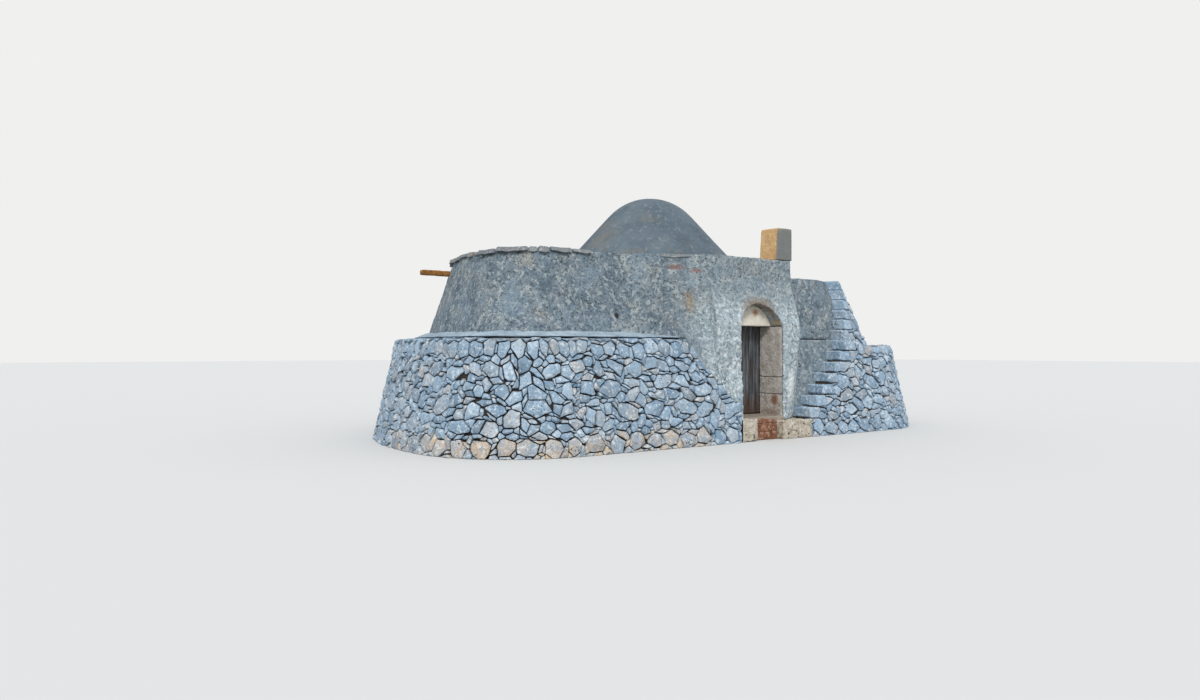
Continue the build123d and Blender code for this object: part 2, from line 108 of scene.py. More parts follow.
def masonry(name, recipe):
    # a weathered mineral surface: mottled tones, patches, spots, cracks, grain, pits and one bump
    material = bpy.data.materials.new(name)
    material.use_nodes = True
    tree = material.node_tree
    shader = tree.nodes["Principled BSDF"]
    place = add(tree, "TexCoord", out="Object")
    mottle = named("mottle", recipe["mottle"])
    stretch = add(tree, "Mapping", {0: place, 3: (1, 1, mottle.get("upright", 1))})
    broad = add(tree, "TexNoise", {0: stretch, 2: 1000 / mottle["mm"], 3: 5, 4: 0.6})
    tone = add(tree, "MapRange", {0: broad, 1: 0.5 - mottle["spread"], 2: 0.5 + mottle["spread"]})
    if "attribute" in mottle:
        own = add(tree, "Attribute", out="Fac", attribute_name=mottle["attribute"])
        tone = add(tree, "Mix", {0: mottle["share"], 2: tone, 3: own})
    colour = add(tree, "ValToRGB", {0: tone})
    stops = colour.node.color_ramp.elements
    for k, code in enumerate(recipe["tones"]):
        position = k / (len(recipe["tones"]) - 1)
        stop = stops[k] if k < 2 else stops.new(position)
        stop.position = position
        stop.color = linear(code)
    for row in recipe.get("patches", ()):
        patch = named("patches", row)
        moved = add(tree, "Mapping", {0: place, 1: patch["shift"], 3: (1, 1, patch.get("upright", 1))})
        field = add(tree, "TexNoise", {0: moved, 2: 1000 / patch["mm"], 3: 4, 4: 0.62})
        start = patch["from"]
        mask = add(tree, "MapRange", {0: field, 1: start, 2: start + patch["soft"], 4: patch["strength"]})
        if patch.get("attribute"):
            own = add(tree, "Attribute", out="Fac", attribute_name=patch["attribute"])
            mask = add(tree, "Math", {0: own, 1: mask}, operation="MULTIPLY")
        colour = add(tree, "Mix", {0: mask, 6: colour, 7: linear(patch["colour"])}, 2, data_type="RGBA")
    for row in recipe.get("spots", ()):
        # one stain at a stated place, ragged at its edge
        spot = named("spots", row)
        ragged = add(tree, "TexNoise", {0: place, 2: 1000 / spot["ragged"], 3: 4, 4: 0.6}, "Color")
        shaken = add(tree, "VectorMath", {0: ragged, 1: (0.5, 0.5, 0.5)}, operation="SUBTRACT")
        shake = (spot["shake"],) * 3
        moved = add(tree, "VectorMath", {0: shaken, 1: shake, 2: place}, operation="MULTIPLY_ADD")
        away = add(tree, "VectorMath", {0: moved, 1: spot["at"]}, operation="SUBTRACT")
        scaled = add(tree, "VectorMath", {0: away, 1: spot["size"]}, operation="DIVIDE")
        far = add(tree, "VectorMath", {0: scaled}, "Value", operation="LENGTH")
        mask = add(tree, "MapRange", {0: far, 1: 1, 2: 1 - spot["soft"], 4: spot["strength"]})
        colour = add(tree, "Mix", {0: mask, 6: colour, 7: linear(spot["colour"])}, 2, data_type="RGBA")
    for row in recipe.get("cracks", ()):
        # a thin dark line that wanders down the left wall from one height to another
        crack = named("cracks", row)
        low, high, fade = crack["low"], crack["high"], 0.03
        axes = add(tree, "SeparateXYZ", {0: place}).node.outputs
        sway = add(tree, "TexNoise", {0: place, 2: 1000 / crack["sway"], 3: 5, 4: 0.65})
        centre = add(tree, "MapRange", {0: axes[2], 1: low, 2: high, 3: crack["yLow"], 4: crack["yHigh"]})
        line = add(tree, "Math", {0: axes[1], 1: centre}, operation="SUBTRACT")
        bend = add(tree, "MapRange", {0: sway, 3: -crack["wander"], 4: crack["wander"]})
        line = add(tree, "Math", {0: line, 1: bend}, operation="ADD")
        line = add(tree, "Math", {0: line}, operation="ABSOLUTE")
        mask = add(tree, "MapRange", {0: line, 1: 0.002, 2: crack["width"], 3: crack["strength"], 4: 0})
        over = add(tree, "MapRange", {0: axes[2], 1: low - fade, 2: low + fade})
        under = add(tree, "MapRange", {0: axes[2], 1: high + fade, 2: high - fade})
        side = add(tree, "MapRange", {0: axes[0], 1: -4.5, 2: -4.6})
        for limit in (over, under, side):
            mask = add(tree, "Math", {0: mask, 1: limit}, operation="MULTIPLY")
        colour = add(tree, "Mix", {0: mask, 6: colour, 7: linear("#2f2b28")}, 2, data_type="RGBA")
    grain = named("grain", recipe["grain"])
    stretched = add(tree, "Mapping", {0: place, 3: (1, 1, grain.get("upright", 1))})
    fine = add(tree, "TexNoise", {0: stretched, 2: 1000 / grain["mm"], 3: 6, 4: 0.7})
    contrast = grain["contrast"]
    shade = add(tree, "MapRange", {0: fine, 1: 0.3, 2: 0.7, 3: 1 - contrast, 4: 1 + contrast * 0.6})
    colour = add(tree, "Mix", {0: 1, 6: colour, 7: shade}, 2, data_type="RGBA", blend_type="MULTIPLY")
    middle = add(tree, "TexNoise", {0: place, 2: 1000 / grain["middle"], 3: 4, 4: 0.55})
    height = add(tree, "Math", {0: fine, 1: grain["depth"]}, operation="MULTIPLY")
    height = add(tree, "Math", {0: middle, 1: grain["middleDepth"], 2: height}, operation="MULTIPLY_ADD")
    for row in recipe.get("pits", ()):
        pits = named("pits", row)
        holes = add(tree, "TexVoronoi", {0: place, 2: 1000 / pits["mm"]}, "Distance", feature="F1")
        where = add(tree, "TexNoise", {0: place, 2: 1000 / pits["zone"], 3: 2, 4: 0.5})
        first, full = 0.5 - pits["cover"], 0.6 + 0.5 * pits["cover"]
        limit = add(tree, "MapRange", {0: where, 1: first, 2: full, 3: -0.05, 4: pits["size"]})
        if "attribute" in pits:
            own = add(tree, "Attribute", out="Fac", attribute_name=pits["attribute"])
            limit = add(tree, "Math", {0: limit, 1: own}, operation="MULTIPLY")
        depth = add(tree, "Math", {0: limit, 1: holes}, operation="SUBTRACT")
        hole = add(tree, "MapRange", {0: depth, 1: 0, 2: 0.09})
        dark = add(tree, "Math", {0: hole, 1: pits["dark"]}, operation="MULTIPLY")
        colour = add(tree, "Mix", {0: dark, 6: colour, 7: linear("#37332f")}, 2, data_type="RGBA")
        height = add(tree, "Math", {0: hole, 1: -pits["depth"], 2: height}, operation="MULTIPLY_ADD")
    bump = add(tree, "Bump", {"Strength": 1, "Distance": 0.001, "Height": height})
    tree.links.new(bump, shader.inputs["Normal"])
    tree.links.new(colour, shader.inputs["Base Color"])
    shader.inputs["Roughness"].default_value = recipe.get("roughness", 0.9)
    shader.inputs["Specular IOR Level"].default_value = 0.25
    return material


# broken limestone: pale blue-grey faces, their blue partly painted shade from a cool sky, some warm ones,
# pitted and dusted with lichen
dryStone = masonry("brokenLimestone", {
    "mottle": (260, 0.2, 1, "tone", 0.5),
    "tones": ("#6a8397", "#859fb5", "#9eb6ca", "#c0d2e0"),
    "patches": (
        (160, 0.3, 0.3, 0.85, "#cdb89f", (3, 7, 1), "warm"),
        (60, 0.54, 0.07, 0.55, "#e6ebed", (11, 2, 5)),
        (35, 0.58, 0.06, 0.6, "#5a6166", (1, 12, 9)),
        (420, 0.6, 0.12, 0.25, "#9a8d7b", (8, 4, 2)),
    ),
    "grain": (16, 0.16, 4, 70, 14),
    "pits": ((42, 160, 0.22, 0.36, 0.9, 14, "pitted"), (19, 90, 0.12, 0.34, 0.75, 6, "pitted")),
})

# rim slabs: the same stone, greyer and browner from lichen and rain, some of it reddish
rimStone = masonry("lichenedLimestone", {
    "mottle": (200, 0.2, 1, "tone", 0.6),
    "tones": ("#6d747a", "#858c90", "#9c9f9d", "#b6b6b0"),
    "patches": (
        (160, 0.35, 0.3, 0.6, "#8c7062", (3, 7, 1), "warm"),
        (60, 0.56, 0.07, 0.5, "#c6cbcb", (11, 2, 5)),
        (35, 0.57, 0.06, 0.6, "#4c5154", (1, 12, 9)),
    ),
    "grain": (16, 0.18, 4, 60, 12),
})

# earth and small rubble in the joints, nearly black as painted shade of the deep joints, so that every
# stone reads apart; "top" is the ledge's bed of pale mortar and grit
jointEarthAndShade = masonry("jointEarthAndShade", {
    "mottle": (90, 0.2),
    "tones": ("#241f1d", "#38322e", "#4a433c"),
    "patches": (
        (300, 0.1, 0.1, 1, "#8c979e", (3, 7, 1), "top"),
        (60, 0.52, 0.08, 0.7, "#b0b9be", (2, 9, 4), "top"),
        (45, 0.55, 0.08, 0.6, "#636a6c", (7, 1, 6), "top"),
    ),
    "grain": (14, 0.25, 6, 50, 18),
})

# old lime plaster over rubble: grey blotches and a blue-grey cast, partly painted shade from a cool sky,
# with a few ochre and reddish patches;
# where "pale" is high, as on the portal, it is chalky and worn whiter
limePlaster = masonry("oldLimePlaster", {
    "mottle": (300, 0.17),
    "tones": ("#606f7c", "#72838e", "#848f97", "#9ca5a6"),
    "patches": (
        (85, 0.53, 0.06, 0.7, "#b4bcbd", (2, 9, 4)),
        (60, 0.53, 0.06, 0.7, "#545e65", (7, 1, 6)),
        # painted shade: broad blue-grey patches, the cool cast of shade under the sky
        (520, 0.53, 0.12, 0.5, "#8397a6", (5, 5, 0)),
        (700, 0.61, 0.1, 0.25, "#9a8a70", (0, 3, 8)),
        (300, 0.5, 0.25, 0.5, "#80857e", (3, 7, 1), "brown", 0.25),
        (200, 0.25, 0.2, 0.95, "#b0bfc6", (1, 8, 3), "pale"),
        (75, 0.5, 0.07, 0.8, "#dfe7ea", (6, 6, 2), "pale"),
        (100, 0.55, 0.07, 0.65, "#74828a", (9, 4, 7), "pale"),
        (40, 0.59, 0.05, 0.75, "#3c4347", (4, 2, 2)),
    ),
    # white on the right pier, ochre in the arch and at its springing, a dark hole, ochre, two red stones
    "spots": (
        ((0.4, -3.62, 0.9), (0.17, 0.3, 0.4), 0.6, 0.75, "#e9eff1", 90, 0.25),
        ((-0.37, -3.45, 2.26), (0.62, 0.165, 0.34), 0.3, 0.6, "#8a7355", 90, 0.08),
        ((0.15, -3.45, 2.1), (0.12, 0.15, 0.07), 0.3, 0.85, "#bfae92", 60, 0.02),
        ((-3.22, -3.0, 2.17), (0.045, 0.2, 0.07), 0.4, 0.95, "#2a2725", 40, 0.04),
        ((-1.84, -3.28, 2.41), (0.15, 0.3, 0.3), 0.8, 0.6, "#a08660", 120, 0.3),
        ((-2.03, -3.13, 3.04), (0.2, 0.3, 0.06), 0.7, 0.7, "#8a5f50", 60, 0.1),
        ((-1.69, -3.28, 2.98), (0.14, 0.3, 0.06), 0.7, 0.7, "#8a5f50", 60, 0.1),
    ),
    "cracks": (
        (2.37, 2.61, -1.7, -1.53, 90, 0.05, 0.009, 0.8),
        (1.86, 2.4, -2.95, -2.33, 120, 0.12, 0.01, 0.8),
    ),
    "grain": (24, 0.3, 12, 75, 40),
    "pits": ((60, 260, 0.14, 0.3, 0.8, 12),),
})

# trowelled render of the dome: even grey, darkened and blued in part as painted shade, warmer in places,
# with faint darker runs
domeRender = masonry("trowelledRender", {
    "mottle": (700, 0.22, 0.5),
    "tones": ("#4f5d67", "#5c6a74", "#6a767d"),
    "patches": (
        (260, 0.54, 0.14, 0.45, "#51585c", (3, 7, 1), None, 0.35),
        (90, 0.56, 0.08, 0.4, "#8d9294", (9, 1, 3)),
        (900, 0.54, 0.12, 0.4, "#857c6d", (3, 0, 9)),
    ),
    "grain": (14, 0.1, 2, 110, 7),
})

# sawn tufa: warm orange-tan; where "pale" is high, on the chimney's front face, it is painted grey as shade
tufa = masonry("sawnTufa", {
    "mottle": (160, 0.2),
    "tones": ("#bd9566", "#d4aa76", "#dfbc8c"),
    "patches": (
        (120, 0.53, 0.1, 0.4, "#a09384", (2, 3, 4)),
        (40, 0.58, 0.06, 0.5, "#e0ccaa", (6, 3, 1)),
        # painted shade: grey-blue over the chimney's front face, where the marks rise
        (200, 0.1, 0.15, 0.9, "#6b777c", (3, 7, 1), "pale"),
    ),
    "grain": (12, 0.14, 3, 60, 7),
    "pits": ((30, 120, 0.15, 0.28, 0.6, 5),),
})

# tooled limestone of the jamb: grey-beige and rough, with brown stains and rust low down
dressedStone = masonry("tooledLimestone", {
    "mottle": (180, 0.2),
    "tones": ("#a8a29a", "#c2bab2", "#d8d2cb"),
    "patches": (
        (150, 0.57, 0.12, 0.45, "#a58a73", (2, 3, 4)),
        (50, 0.54, 0.08, 0.5, "#e2e0dc", (6, 3, 1)),
        (40, 0.57, 0.06, 0.5, "#7d7b78", (3, 6, 8)),
    ),
    "spots": (
        ((0.17, -3.38, 0.68), (0.3, 0.12, 0.13), 0.6, 0.85, "#8e5a34", 60, 0.12),
        ((0.17, -3.3, 0.45), (0.3, 0.3, 0.09), 0.8, 0.6, "#7c5a45", 90, 0.1),
    ),
    "grain": (11, 0.2, 6, 45, 16),
})

# smooth pale limestone of the half disc over the door, with one rusty stain
creamStone = masonry("creamLimestone", {
    "mottle": (220, 0.2),
    "tones": ("#d6cebf", "#e6dfd2", "#f0ebe2"),
    "patches": ((60, 0.58, 0.08, 0.5, "#a99a85", (2, 3, 4)),),
    "spots": (
        ((-0.24, -3.31, 2.29), (0.1, 0.3, 0.09), 0.7, 0.85, "#a8703f", 50, 0.1),
        ((-0.5, -3.31, 2.4), (0.3, 0.3, 0.04), 0.8, 0.5, "#8a7a63", 70, 0.08),
    ),
    "grain": (12, 0.1, 2, 60, 5),
})

# porous foot blocks: whitish with honeycomb holes
porousStone = masonry("porousLimestone", {
    "mottle": (140, 0.2),
    "tones": ("#a59a8a", "#c4bbab", "#ddd7ca"),
    "patches": ((90, 0.55, 0.1, 0.5, "#96836c", (2, 3, 4)),),
    "grain": (13, 0.2, 4, 55, 12),
    "pits": ((50, 120, 0.3, 0.4, 0.95, 18), (22, 80, 0.2, 0.38, 0.85, 8)),
})

# riser stones stained by red earth
redStone = masonry("redStainedStone", {
    "mottle": (110, 0.2),
    "tones": ("#6d4837", "#8b5d46", "#a47a61"),
    "patches": (
        (60, 0.52, 0.08, 0.55, "#b9a08d", (2, 3, 4)),
        (45, 0.56, 0.08, 0.6, "#4a3228", (7, 3, 1)),
    ),
    "grain": (12, 0.2, 4, 50, 10),
})

# worn floor stone: grey-beige, polished by feet
floorStone = masonry("wornFloorStone", {
    "mottle": (300, 0.2),
    "tones": ("#7f766b", "#978d80", "#a89f92"),
    "patches": ((200, 0.55, 0.1, 0.5, "#6f5a48", (2, 3, 4)),),
    "grain": (16, 0.12, 2, 90, 8),
    "roughness": 0.75,
})

# mortar fillet: pale grey-blue, the blue partly painted shade from a cool sky, trowelled
mortar = masonry("limeMortar", {
    "mottle": (200, 0.2),
    "tones": ("#8596a3", "#9badb9", "#b1bfc8"),
    "patches": ((70, 0.57, 0.08, 0.5, "#777b7d", (2, 3, 4)),),
    "grain": (16, 0.14, 4, 70, 9),
})

# spout stone: rusty brown from lichen and earth
spoutStone = masonry("rustStainedStone", {
    "mottle": (90, 0.2),
    "tones": ("#6d4a2a", "#9a6a35", "#b58a55"),
    "grain": (12, 0.2, 4, 45, 8),
})

# weathered door planks: grey-blue grain along the boards, brown and damp at the foot
oldWood = masonry("weatheredPlanks", {
    "mottle": (60, 0.16, 0.08),
    "tones": ("#313235", "#53575c", "#868d94"),
    "patches": (
        (40, 0.54, 0.06, 0.7, "#2b2a2b", (3, 7, 1), None, 0.05),
        (80, 0.5, 0.2, 0.6, "#5d4936", (1, 1, 5), None, 0.2),
    ),
    "spots": (((-0.4, -3, 0.35), (1.2, 1, 0.55), 0.6, 0.75, "#4d3728", 200, 0.3),),
    "grain": (9, 0.25, 2, 30, 3, 0.06),
    "roughness": 0.8,
})

# rusted wrought iron: dark brown with orange bloom
rustedIron = masonry("rustedIron", {
    "mottle": (40, 0.2),
    "tones": ("#211a17", "#33261f", "#4a3122"),
    "patches": ((20, 0.56, 0.08, 0.6, "#7a4526", (2, 3, 4)),),
    "grain": (5, 0.2, 0.6, 20, 1.2),
    "roughness": 0.7,
})
print("materials made")


# walls as paths round the house

spacing = 0.05


def treeOf(names):
    points, faces = [], []
    for name in names:
        mesh = nodes[name].data
        start = len(points)
        points += [vertex.co.copy() for vertex in mesh.vertices]
        faces += [[start + i for i in face.vertices] for face in mesh.polygons]
    return BVHTree.FromPolygons(points, faces)


def evenly(points):
    # the same line with a point at every spacing
    steps = np.hypot(*np.diff(points, axis=0).T)
    along = np.concatenate([[0], np.cumsum(steps)])
    marks = np.arange(0, along[-1], spacing)
    return np.column_stack([np.interp(marks, along, points[:, i]) for i in (0, 1)])


def outward(line, closed, reach=5):
    if closed:
        tangent = np.roll(line, -reach, 0) - np.roll(line, reach, 0)
    else:
        index = np.arange(len(line))
        tangent = line[np.minimum(index + reach, len(line) - 1)] - line[np.maximum(index - reach, 0)]
    normal = np.column_stack([tangent[:, 1], -tangent[:, 0]])
    return normal / np.linalg.norm(normal, axis=1)[:, None]


def outlineOf(names, height, startX):
    # the rounded plan of the nodes at a height, counterclockwise from the front at startX
    flat = [
        vertex.co.to_2d() for name in names for vertex in nodes[name].data.vertices
        if abs(vertex.co.z - height) < 0.002
    ]
    hull = np.array([flat[i] for i in geometry.convex_hull_2d(flat)])
    turned = np.roll(hull, -1, 0)
    if (hull[:, 0] * turned[:, 1] - turned[:, 0] * hull[:, 1]).sum() < 0:
        hull = hull[::-1]
    line = evenly(np.vstack([hull, hull[:1]]))
    first = np.argmin(np.hypot(line[:, 0] - startX, line[:, 1] - line[:, 1].min()))
    line = np.roll(line, -first, 0)
    return line, outward(line, True)


def castLine(tree, line, normal, height, outside=0.8, reach=4):
    # where rays from outside the line, inwards, meet the nodes in the tree
    hits = np.full((len(line), 2), np.nan)
    for k, (point, side) in enumerate(zip(line, normal)):
        start = Vector((*(point + side * outside), height))
        hit = tree.ray_cast(start, Vector((-side[0], -side[1], 0)), reach)[0]
        if hit:
            hits[k] = hit[:2]
    return hits


def wallFace(names, line, normal, low, high):
    # where the wall's face stands along the line, at two heights
    tree = treeOf(names)
    rows = []
    for height in (low, high):
        hits = castLine(tree, line, normal, height)
        found = ~np.isnan(hits[:, 0])
        index = np.arange(len(line))
        rows.append(np.column_stack([np.interp(index, index[found], hits[found, i]) for i in (0, 1)]))
    return {"low": rows[0], "high": rows[1], "heights": (low, high), "normal": normal}


def onWall(face, local):
    # local points are along, up and out of the wall
    index = np.clip(local[:, 0] / spacing, 0, len(face["low"]) - 1.001)
    before = index.astype(int)
    part = (index - before)[:, None]
    after = before + 1
    low = face["low"][before] * (1 - part) + face["low"][after] * part
    high = face["high"][before] * (1 - part) + face["high"][after] * part
    side = face["normal"][before] * (1 - part) + face["normal"][after] * part
    bottom, top = face["heights"]
    share = ((local[:, 1] - bottom) / (top - bottom))[:, None]
    flat = low + (high - low) * share + side * local[:, 2:3]
    return np.column_stack([flat, local[:, 1]])


# dry stone

binSize = 0.5
# how near stones come, the share that lies flat and its sway, and the ranges of size and length
lay = {"near": 0.84, "flat": 0.65, "sway": 0.35, "size": (0.85, 1.2), "aspect": (1, 2.6)}
# the least stone that is kept, and the tries per square metre, least hole and half size of pinning stones
least = {"area": 0.0007, "wide": 0.02}
pin = {"bin": 0.4, "tries": 260, "hole": 0.013, "wide": 0.15, "high": 0.1}
# broken outlines: the range and the most of a corner's cut, and which edges bend, how much and where
wear = {"cut": (0.5, 1.4), "most": 0.36, "long": 0.11, "dent": (-0.002, 0.05), "middle": (0.4, 0.6)}


def lying(x, y, radius, aspect, angle):
    # a stone's place, and the ellipse that says how long it is and which way it lies
    c, s = math.cos(angle), math.sin(angle)
    long, short = 1 / (radius ** 2 * aspect), aspect / radius ** 2
    return x, y, c * c * long + s * s * short, c * s * (long - short), s * s * long + c * c * short


def reachOf(site, dx, dy, apart):
    return apart / math.sqrt(site[2] * dx * dx + 2 * site[3] * dx * dy + site[4] * dy * dy)


def corners(block):
    left, right, low, high = block
    return [(left, low), (right, low), (right, high), (left, high)]


def extent(polygon):
    xs, ys = zip(*polygon)
    return min(xs), max(xs), min(ys), max(ys)


def taken(x, y, blocks):
    return any(left < x < right and low < y < high for left, right, low, high in blocks)


def scatter(region, sizes, dice, fixed, blocks):
    # large stones are thrown first, then smaller ones into what is left
    left, right, low, high = region
    sites, bins = [], {}

    def keep(site):
        sites.append(site)
        bins.setdefault((int(site[0] // binSize), int(site[1] // binSize)), []).append(site)

    def near(x, y, reach):
        i, j = int(x // binSize), int(y // binSize)
        span = range(-reach, reach + 1)
        return [site for a in span for b in span for site in bins.get((i + a, j + b), ())]

    def free(site):
        for other in near(site[0], site[1], 1):
            dx, dy = other[0] - site[0], other[1] - site[1]
            apart = math.hypot(dx, dy) or 1e-6
            if apart < lay["near"] * (reachOf(site, dx, dy, apart) + reachOf(other, dx, dy, apart)):
                return False
        return True

    for x, y, radius, aspect, angle in fixed:
        if not taken(x, y, blocks):
            keep(lying(x, y, radius, aspect, angle))
    for radius, tries in sizes:
        for _ in range(int(tries * (right - left) * (high - low) / radius ** 2)):
            x, y = dice.uniform(left, right), dice.uniform(low, high)
            if taken(x, y, blocks):
                continue
            flat = dice.random() < lay["flat"]
            angle = dice.gauss(0, lay["sway"]) if flat else dice.uniform(0, math.pi)
            site = lying(x, y, radius * dice.uniform(*lay["size"]), dice.uniform(*lay["aspect"]), angle)
            if free(site):
                keep(site)
    return sites, near


def clipped(polygon, nx, ny, limit):
    kept = []
    for (ax, ay), (bx, by) in zip(polygon, polygon[1:] + polygon[:1]):
        a, b = nx * ax + ny * ay - limit, nx * bx + ny * by - limit
        if a <= 0:
            kept.append((ax, ay))
        if a * b < 0:
            kept.append((ax + (bx - ax) * a / (a - b), ay + (by - ay) * a / (a - b)))
    return kept


def stoneOutlines(region, sizes, seed, gap, fixed, blocks):
    # each stone takes the ground nearest to it, less half a joint; blocks are rectangles kept free
    dice = random.Random(seed)
    sites, near = scatter(region, sizes, dice, fixed, blocks)
    outlines = []
    for site in sites:
        x, y = site[:2]
        polygon = corners(region)
        others = sorted((math.hypot(other[0] - x, other[1] - y), other) for other in near(x, y, 2))
        for apart, other in others[1:]:
            reach = max(math.hypot(px - x, py - y) for px, py in polygon)
            if apart > 3.2 * reach:
                break
            dx, dy = other[0] - x, other[1] - y
            # the joint crosses where the two ellipses meet, and turns with the way that they lie
            own, far = reachOf(site, dx, dy, apart), reachOf(other, dx, dy, apart)
            nx = (site[2] + other[2]) * dx + (site[3] + other[3]) * dy
            ny = (site[3] + other[3]) * dx + (site[4] + other[4]) * dy
            size = math.hypot(nx, ny)
            nx, ny = nx / size, ny / size
            share = own / (own + far)
            limit = nx * (x + dx * share) + ny * (y + dy * share)
            polygon = clipped(polygon, nx, ny, limit - gap * dice.uniform(0.4, 1.3))
            if len(polygon) < 3:
                break
        if len(polygon) < 3:
            continue
        for block in blocks:
            left, right, low, high = extent(polygon)
            if right < block[0] or left > block[1] or high < block[2] or low > block[3]:
                continue
            nx, ny, offset = facing(x, y, corners(block))[1:]
            polygon = clipped(polygon, -nx, -ny, -offset - gap * dice.uniform(0.3, 0.9))
            if len(polygon) < 3:
                break
        if len(polygon) < 3:
            continue
        sides = zip(polygon, polygon[1:] + polygon[:1])
        area = 0.5 * abs(sum(ax * by - bx * ay for (ax, ay), (bx, by) in sides))
        left, right, low, high = extent(polygon)
        if area > least["area"] and right - left > least["wide"]:
            outlines.append(polygon)
    return outlines + pinned(region, outlines, dice, gap, blocks)


def facing(x, y, polygon):
    # the side of a convex outline that a point lies furthest outside: distance, normal and offset
    best = (-1, 0, 0, 0)
    for (ax, ay), (bx, by) in zip(polygon, polygon[1:] + polygon[:1]):
        size = math.hypot(bx - ax, by - ay)
        if size > 1e-6:
            nx, ny = (by - ay) / size, (ax - bx) / size
            best = max(best, (nx * (x - ax) + ny * (y - ay), nx, ny, nx * ax + ny * ay))
    return best


def pinned(region, outlines, dice, gap, blocks):
    # pinning stones, cut to what is left where the larger ones leave a hole
    left, right, low, high = region
    bins, made = {}, []
    wide, tall = pin["wide"], pin["high"]

    def binOf(x, y):
        return int(x // pin["bin"]), int(y // pin["bin"])

    def keep(polygon):
        x, y = sum(p[0] for p in polygon) / len(polygon), sum(p[1] for p in polygon) / len(polygon)
        bins.setdefault(binOf(x, y), []).append(polygon)

    for polygon in outlines:
        keep(polygon)
    walls = [corners(block) for block in blocks]
    for _ in range(int((right - left) * (high - low) * pin["tries"])):
        x, y = dice.uniform(left, right), dice.uniform(low + 0.02, high - 0.02)
        if taken(x, y, blocks):
            continue
        i, j = binOf(x, y)
        sides = []
        for near in [bins.get((i + a, j + b), ()) for a in (-1, 0, 1) for b in (-1, 0, 1)] + [walls]:
            sides += [facing(x, y, polygon) for polygon in near]
        if min(side[0] for side in sides) < pin["hole"]:
            continue
        polygon = corners((x - wide, x + wide, y - tall, y + tall))
        for nx, ny, limit in ((-1, 0, -left), (1, 0, right), (0, -1, -low), (0, 1, high)):
            polygon = clipped(polygon, nx, ny, limit)
        for far, nx, ny, offset in sides:
            polygon = clipped(polygon, -nx, -ny, -offset - gap * dice.uniform(0.5, 1.3))
            if len(polygon) < 3:
                break
        if len(polygon) > 2:
            keep(polygon)
            made.append(polygon)
    return made


def broken(polygon, dice, cut):
    # knocks off the corners and bends the long edges a little
    count = len(polygon)
    points = []
    for k in range(count):
        ax, ay = polygon[k - 1]
        bx, by = polygon[k]
        cx, cy = polygon[(k + 1) % count]
        before, after = math.hypot(ax - bx, ay - by), math.hypot(cx - bx, cy - by)
        if before < 1e-5 or after < 1e-5:
            continue
        first = min(cut * dice.uniform(*wear["cut"]), wear["most"] * before) / before
        second = min(cut * dice.uniform(*wear["cut"]), wear["most"] * after) / after
        dx, dy = cx - bx, cy - by
        points.append((bx + (ax - bx) * first, by + (ay - by) * first))
        points.append((bx + dx * second, by + dy * second))
        if after > wear["long"]:
            dent = dice.uniform(*wear["dent"])
            middle = dice.uniform(*wear["middle"])
            points.append((bx + dx * middle - dy * dent, by + dy * middle + dx * dent))
    return points


class Heap:
    # the points, faces and marks of many stones, on their way to one mesh
    steepest, bevel, shake = 0.13, 0.011, 0.0025

    def __init__(self):
        self.points, self.faces, self.marks = [], [], []

    def stone(self, polygon, dice, deep, out, marks, cut=0.012, tilt=0.08, crown=0.03, flatBack=0.86):
        # one stone on an outline: how deep, how far out of the wall's face, and its tone, warmth and pits
        outline = broken(polygon, dice, cut)
        count = len(outline)
        if count < 3:
            return
        cx = sum(x for x, y in outline) / count
        cy = sum(y for x, y in outline) / count
        mean = sum(math.hypot(x - cx, y - cy) for x, y in outline) / count
        tiltX, tiltY = (max(-self.steepest, min(self.steepest, dice.gauss(0, tilt))) for _ in range(2))
        bevel = min(self.bevel, 0.11 * mean)
        start = len(self.points)
        share = bevel / mean
        rings = ((-deep, flatBack), (-bevel * 2.1, 1), (-bevel * 0.5, 1 - 0.7 * share), (0, 1 - 2 * share))
        drop = 0.45 * (abs(tiltX) + abs(tiltY)) * mean
        for k, (depth, size) in enumerate(rings):
            for x, y in outline:
                px, py = cx + (x - cx) * size, cy + (y - cy) * size
                face = tiltX * (px - cx) + tiltY * (py - cy) - drop if k else 0
                shake = dice.uniform(-self.shake, self.shake) if k else 0
                self.points.append((px, py, out + depth + face + shake))
        slide = 0.35 * mean
        px, py = cx + dice.uniform(-slide, slide), cy + dice.uniform(-slide, slide)
        self.points.append((px, py, out - drop + dice.uniform(0, crown)))
        for k in range(len(rings) - 1):
            for i in range(count):
                j = (i + 1) % count
                a = start + k * count
                self.faces.append((a + i, a + j, a + count + j, a + count + i))
        last = start + (len(rings) - 1) * count
        for i in range(count):
            self.faces.append((last + i, last + (i + 1) % count, start + len(rings) * count))
        self.marks += [marks] * (len(self.points) - start)

    def piece(self, name, face, material, slotName, replaced, smooth=20):
        # operators can't fit stones of free outline to one another, so the mesh is made from the points
        placed = np.clip(onWall(face, np.array(self.points)), boxLow, boxHigh)
        mesh = bpy.data.meshes.new(name)
        mesh.from_pydata(placed.tolist(), [], self.faces)
        for k, mark in enumerate(("tone", "warm", "pitted")):
            marked(mesh, mark, [m[k] for m in self.marks])
        return finished(linked(name, mesh), material, replaced, smooth)


def only(*chosen):
    bpy.ops.object.select_all(action="DESELECT")
    for made in chosen:
        made.select_set(True)
    bpy.context.view_layer.objects.active = chosen[0]


def linked(name, data):
    made = bpy.data.objects.new(name, data)
    scene.collection.objects.link(made)
    return made


def copied(name, mesh):
    return linked(name, mesh.copy())


def joined(parts, name):
    only(*parts)
    if len(parts) > 1:
        bpy.ops.object.join()
    parts[0].name = name
    return parts[0]


def inEdit(*steps):
    # edit-mode operators on the whole of the active mesh
    bpy.ops.object.mode_set(mode="EDIT")
    bpy.ops.mesh.select_all(action="SELECT")
    for step in steps:
        step()
    bpy.ops.object.mode_set(mode="OBJECT")


